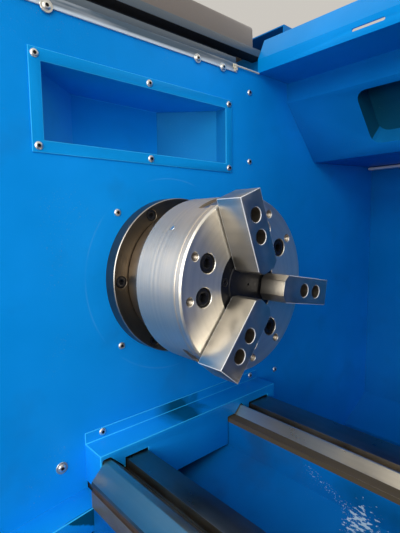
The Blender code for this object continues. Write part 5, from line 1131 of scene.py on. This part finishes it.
print("bed")
bed = {
    "edge": (0.0008, 2, 30), "groove": ((-0.1740, -0.195, -0.2868), (1.30, -0.1872, -0.2775)),
    "stepFront": -0.1262, "stepBack": -0.1734, "stepEdge": (0.0012, 3, 30), "stepNear": -0.1716,
    "stepTop": -0.3125, "stepFoot": -0.3497, "stepFar": -0.2995, "stepFarTop": -0.3265, "stepLow": -0.3537,
    "flank": -0.1912, "frontSpan": (-0.191, -0.0930), "rearSpan": (0.087, 0.200), "frontLow": -0.3112,
    "rearLow": -0.2845, "faceY": -0.1865, "faceTop": -0.2760, "grooveSpan": (-0.2870, -0.2773),
    "grooveFloorY": -0.1899, "up": 0.6, "level": 0.5, "veeLow": -0.2765, "innerY": -0.146,
    "innerLow": -0.2700, "flatLow": -0.264, "frontFlat": (-0.132, -0.0925), "rearFlat": 0.146,
    "rearStepY": 0.1385, "rearStepTop": -0.270, "bandY": 0.1064, "bandLow": -0.2730,
}


# Machined faces of the bed are told by where they lie: 0 painted casting, 1 bright rear V, 2 planed,
# 3 scraped flat, 4 milled front, 5 groove (dark: painted shade and oily debris), 6 the front V's flanks,
# 7 the brown band under the rear V.
def bedFaces(middle, normal):
    b = bed
    x, y, z = middle.T

    def within(value, span):
        return (value > span[0]) & (value < span[1])

    up = normal[:, 2] > b["up"]
    front, rear = within(y, b["frontSpan"]), within(y, b["rearSpan"])
    planed = (front & (z > b["frontLow"])) | (rear & (z > b["rearLow"]))
    face = front & (y < b["faceY"])
    inGroove = (y > b["grooveFloorY"]) | (np.abs(normal[:, 2]) > b["level"])
    marks = np.where(planed, 2, 0)
    marks[face & within(z, (b["frontLow"], b["faceTop"]))] = 4
    marks[face & within(z, b["grooveSpan"]) & inGroove] = 5
    marks[planed & up & (z > b["veeLow"])] = 1
    marks[front & up & (z > b["veeLow"])] = 6
    marks[planed & up & (z < b["innerLow"]) & front & (y > b["innerY"])] = 2
    marks[planed & up & (z > b["flatLow"]) & ((y > b["rearFlat"]) | within(y, b["frontFlat"]))] = 3
    marks[planed & rear & (y > b["rearStepY"]) & (z < b["rearStepTop"])] = 2
    marks[rear & up & (y < b["bandY"]) & (z > b["bandLow"])] = 7
    return marks


# The bed's front flank gets its groove, and a folded step closes the corner between wall and flank.
def makeBed():
    b = bed
    mesh = softened(carved(nodeCopy("bed"), [boxMesh(*b["groove"])]), *b["edge"])
    keep("latheBed", markedBy(mesh, bedFaces), "machine",
         [chutePaint, wayBright, wayDark, wayFlat, wayFront, wayGrooveShade, wayFlank, wayBand], "bed", 40)
    step = slab([(b["stepNear"], b["stepFoot"]), (b["stepNear"], b["stepTop"]),
                 (b["stepFar"], b["stepFarTop"]), (b["stepFar"], b["stepLow"]), (b["flank"], b["stepLow"]),
                 (b["flank"], b["stepFoot"])], (b["stepBack"], b["stepFront"]))
    step = markedBy(softened(step, *b["stepEdge"]), highlightedEdges())
    keep("wallStep", step, "machine", [stepPaint, shadePaint, edgeHighlightPaint])


makeBed()


# Rear guard

print("rear guard")
guard = {
    "fold": (0.322, 0.343), "slantBack": (0.430, 0.227), "pocketX": (-0.025, 0.399),
    "edge": (0.0012, 3, 20), "floorUp": 0.3, "browDown": -0.45, "pocketReach": 0.15, "sheet": 0.0036,
    "browDrop": 0.02, "browBack": 0.33, "browTop": 0.004, "browFront": 0.316,
    "lampLow": (-0.168, 0.6895, 0.2292), "lampHigh": (1.100, 0.7145, 0.2360), "lampEdge": (0.002, 3),
}


# The pocket's own faces (1, its floor 3) lie behind the slanted sheet, within its length, and take painted
# shade: dark teal, the floor less dark; 2 is the brow, painted lighter as painted light.
def guardFaces(middle, normal):
    g = guard
    x, y, z = middle.T
    along = np.array(g["slantBack"]) - np.array(g["fold"])
    along /= np.hypot(*along)
    off = middle[:, 1:] - np.array(g["fold"])
    depth, down = np.abs(off @ np.array([along[1], -along[0]])), off @ along
    inside = (x > g["pocketX"][0]) & (x < g["pocketX"][1])
    pocket = inside & (depth > g["sheet"]) & (down > 0) & (down < g["pocketReach"])
    marks = np.where(pocket, np.where(normal[:, 2] > g["floorUp"], 3, 1), 0)
    brow = (normal[:, 2] < g["browDown"]) & (z > g["fold"][1] - g["browDrop"]) & (y < g["browBack"])
    brow |= (z > g["fold"][1] + g["browTop"]) & (y < g["browFront"])
    return np.where(brow & ~pocket, 2, marks)


def makeGuard():
    mesh = markedBy(softened(nodeCopy("rear_guard"), *guard["edge"]), guardFaces)
    keep("rearGuard", mesh, "machine", [guardPaint, pocketShadePaint, browLitPaint, shadePaint], "rear_guard", angle=30)
    lamp = softened(boxMesh(guard["lampLow"], guard["lampHigh"]), *guard["lampEdge"])
    keep("workLamp", lamp, "machine", lampCover, "work_lamp")


makeGuard()


# Everything that the photograph doesn't show, in the same finishes: body, finish, rounding, nodes

print("housing")
plainNodes = (
    ("machine", darkPaint, 0.002, "left_base", "right_base"),
    ("machine", blueCast, 0.0015, "chip_tray"),
    ("machine", castIron, 0.002, "headstock_casting"),
    ("machine", motorGrey, 0.0012, "main_motor"),
    ("machine", blackPlastic, 0.0015, "control_modules"),
    ("machine", bluePaint, 0.001, "right_wall"),
    ("machine", greyPaint, 0.0012, "front_panel"),
    ("machine", channelGrey, 0.0, "lower_door_rail", "upper_door_rail"),
    ("machine", blackPlastic, 0.002, "z_servo_motor"),
    ("machine", greyPaint, 0.0015, "coolant_unit"),
    ("machine", blackRubber, 0.0006, "drive_belt"),
    ("spindle_line", castIron, 0.0006, "spindle_pulley"),
    ("spindle_line", edgeSteel, 0.001, "chuck_cylinder"),
    ("spindle_line", edgeSteel, 0.0, "draw_tube"),
    ("motor_rotor", castIron, 0.0006, "motor_pulley"),
    ("feed_screw", edgeSteel, 0.0, "z_ballscrew"),
    ("carriage", blueCast, 0.002, "saddle"),
    ("carriage", blackPlastic, 0.002, "x_servo_motor"),
    ("slide", castIron, 0.0015, "cross_slide"),
    ("slide", greyPaint, 0.002, "turret_base"),
    ("turret", castIron, 0.001, "turret_head"),
    ("turret", boltBlack, 0.0005, "turning_tool_1", "turning_tool_2", "turning_tool_3"),
    ("tailstock", bluePaint, 0.003, "tailstock_body"),
    ("quill", edgeSteel, 0.0005, "tailstock_quill"),
    ("centre", edgeSteel, 0.0, "live_centre"),
    ("handwheel", edgeSteel, 0.0, "tailstock_handwheel"),
    ("lever", edgeSteel, 0.0, "clamp_lever"),
    ("door", bluePaint, 0.0012, "sliding_door"),
    ("door", panePlastic, 0.0008, "door_window"),
    ("cabinet_door_leaf", greyPaint, 0.0, "cabinet_door"),
    ("stop_button", redPlastic, 0.0008, "emergency_button"),
    ("cycle_button", greenPlastic, 0.0006, "start_button"),
    ("pulse_wheel", blackPlastic, 0.0008, "pulse_handwheel"),
    ("machine", edgeSteel, 0.0, "front_bearing", "rear_bearing"),
)
for body, finish, edge, *nodes in plainNodes:
    for node in nodes:
        dressed(node, body, finish, edge)

shell = {"edge": (0.0012, 2, 42), "partitionY": (0.240, 0.245), "partitionLow": 0.4295, "setBack": 0.070}


# The cabinet's upper part stands a little farther back than the machinery space beside it.
def makeShell():
    near, far = shell["partitionY"]
    mesh = nodeCopy("headstock_shell")
    for v in mesh.vertices:
        if v.co.z > shell["partitionLow"] and near < v.co.y < far:
            v.co.y += shell["setBack"]
    keep("headstockShell", softened(mesh, *shell["edge"]), "machine", guardPaint, "headstock_shell",
         meshLimits["dressedShade"])


console = {
    "edge": (0.0006, 2, 42), "facing": -0.9, "screenDepth": (0.0045, 0.012), "keyHeight": 0.0016,
    "keysUnder": 0.20,
}


# The console's screen (1) lies in its recess, and the keys (2) stand on its front.
def makeConsole():
    low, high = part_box("console_box")
    front, top = low.y - machineAt.y, high.z - machineAt.z
    near, far = (front + depth for depth in console["screenDepth"])

    def fittings(middle, normal):
        x, y, z = middle.T
        key = (y < front + console["keyHeight"]) & (z < top - console["keysUnder"])
        facing = normal[:, 1] < console["facing"]
        return np.where(facing & (y > near) & (y < far), 1, np.where(key & facing, 2, 0))

    box = markedBy(softened(nodeCopy("console_box"), *console["edge"]), fittings)
    keep("consoleBox", box, "machine", [darkPaint, screenGlass, keyPlastic], "console_box",
         meshLimits["dressedShade"])


makeShell()
makeConsole()


# Floor, light and camera

print("stage")
studio = {
    "floor": (0.80, 0.79, 0.77), "floorSize": 14.0, "floorRoughness": 0.8, "floorNoise": (1.5, 3.0),
    "floorShare": 0.96, "world": (1.0, 0.955, 0.88), "worldStrength": 0.60, "clip": (0.02, 60.0),
    "lens": 27.63, "sensor": 36.0, "eye": (0.3826, -0.4339, 0.0866), "look": (-0.7412, 0.6632, -0.1041),
    "down": (0.0702, -0.0775, -0.9945),
}
# Area lamps: name, place, the point that it faces, size and power
lamps = (
    ("overhead", (0.30, -0.10, 2.10), (0.20, 0.05, 0.0), 2.2, 4.0),
    ("front", (0.60, -1.38, 0.62), (-0.17, -0.12, 0.0), 1.5, 30.5),
    ("back", (-1.2, 2.8, 1.6), (0.0, 0.2, 0.0), 2.6, 45.0),
)


def makeStage():
    s = studio
    half = s["floorSize"] / 2
    mesh = meshOf([(-half, -half, 0), (half, -half, 0), (half, half, 0), (-half, half, 0)], [(0, 1, 2, 3)])
    floor = bpy.data.objects.new("floor", mesh)
    scene.collection.objects.link(floor)
    ground = Finish("floor", s["floor"], s["floorRoughness"])
    ground.set("Base Color", ground.mix(ground.noise(*s["floorNoise"]), s["floor"],
                                        tinted(s["floor"], s["floorShare"])))
    mesh.materials.append(ground.material)
    world = bpy.data.worlds.new("studio")
    world.use_nodes = True
    back = world.node_tree.nodes["Background"]
    back.inputs["Color"].default_value = (*s["world"], 1)
    back.inputs["Strength"].default_value = s["worldStrength"]
    scene.world = world
    for name, at, aim, size, power in lamps:
        light = bpy.data.lights.new(name, "AREA")
        light.size, light.energy = size, power
        lamp = bpy.data.objects.new(name, light)
        scene.collection.objects.link(lamp)
        lamp.location = machineAt + Vector(at)
        lamp.rotation_euler = (Vector(aim) - Vector(at)).to_track_quat("-Z", "Y").to_euler()


def makeCamera():
    s = studio
    lens = bpy.data.cameras.new("photograph")
    lens.sensor_fit, lens.sensor_width, lens.lens = "AUTO", s["sensor"], s["lens"]
    lens.clip_start, lens.clip_end = s["clip"]
    eye = bpy.data.objects.new("photograph", lens)
    scene.collection.objects.link(eye)
    back = -Vector(s["look"]).normalized()
    up = -Vector(s["down"]).normalized()
    side = up.cross(back).normalized()
    up = back.cross(side)
    facing = Matrix((side, up, back)).transposed().to_4x4()
    eye.matrix_world = Matrix.Translation(machineAt + Vector(s["eye"])) @ facing
    scene.camera = eye


makeStage()
makeCamera()
scene.view_settings.view_transform = "Standard"
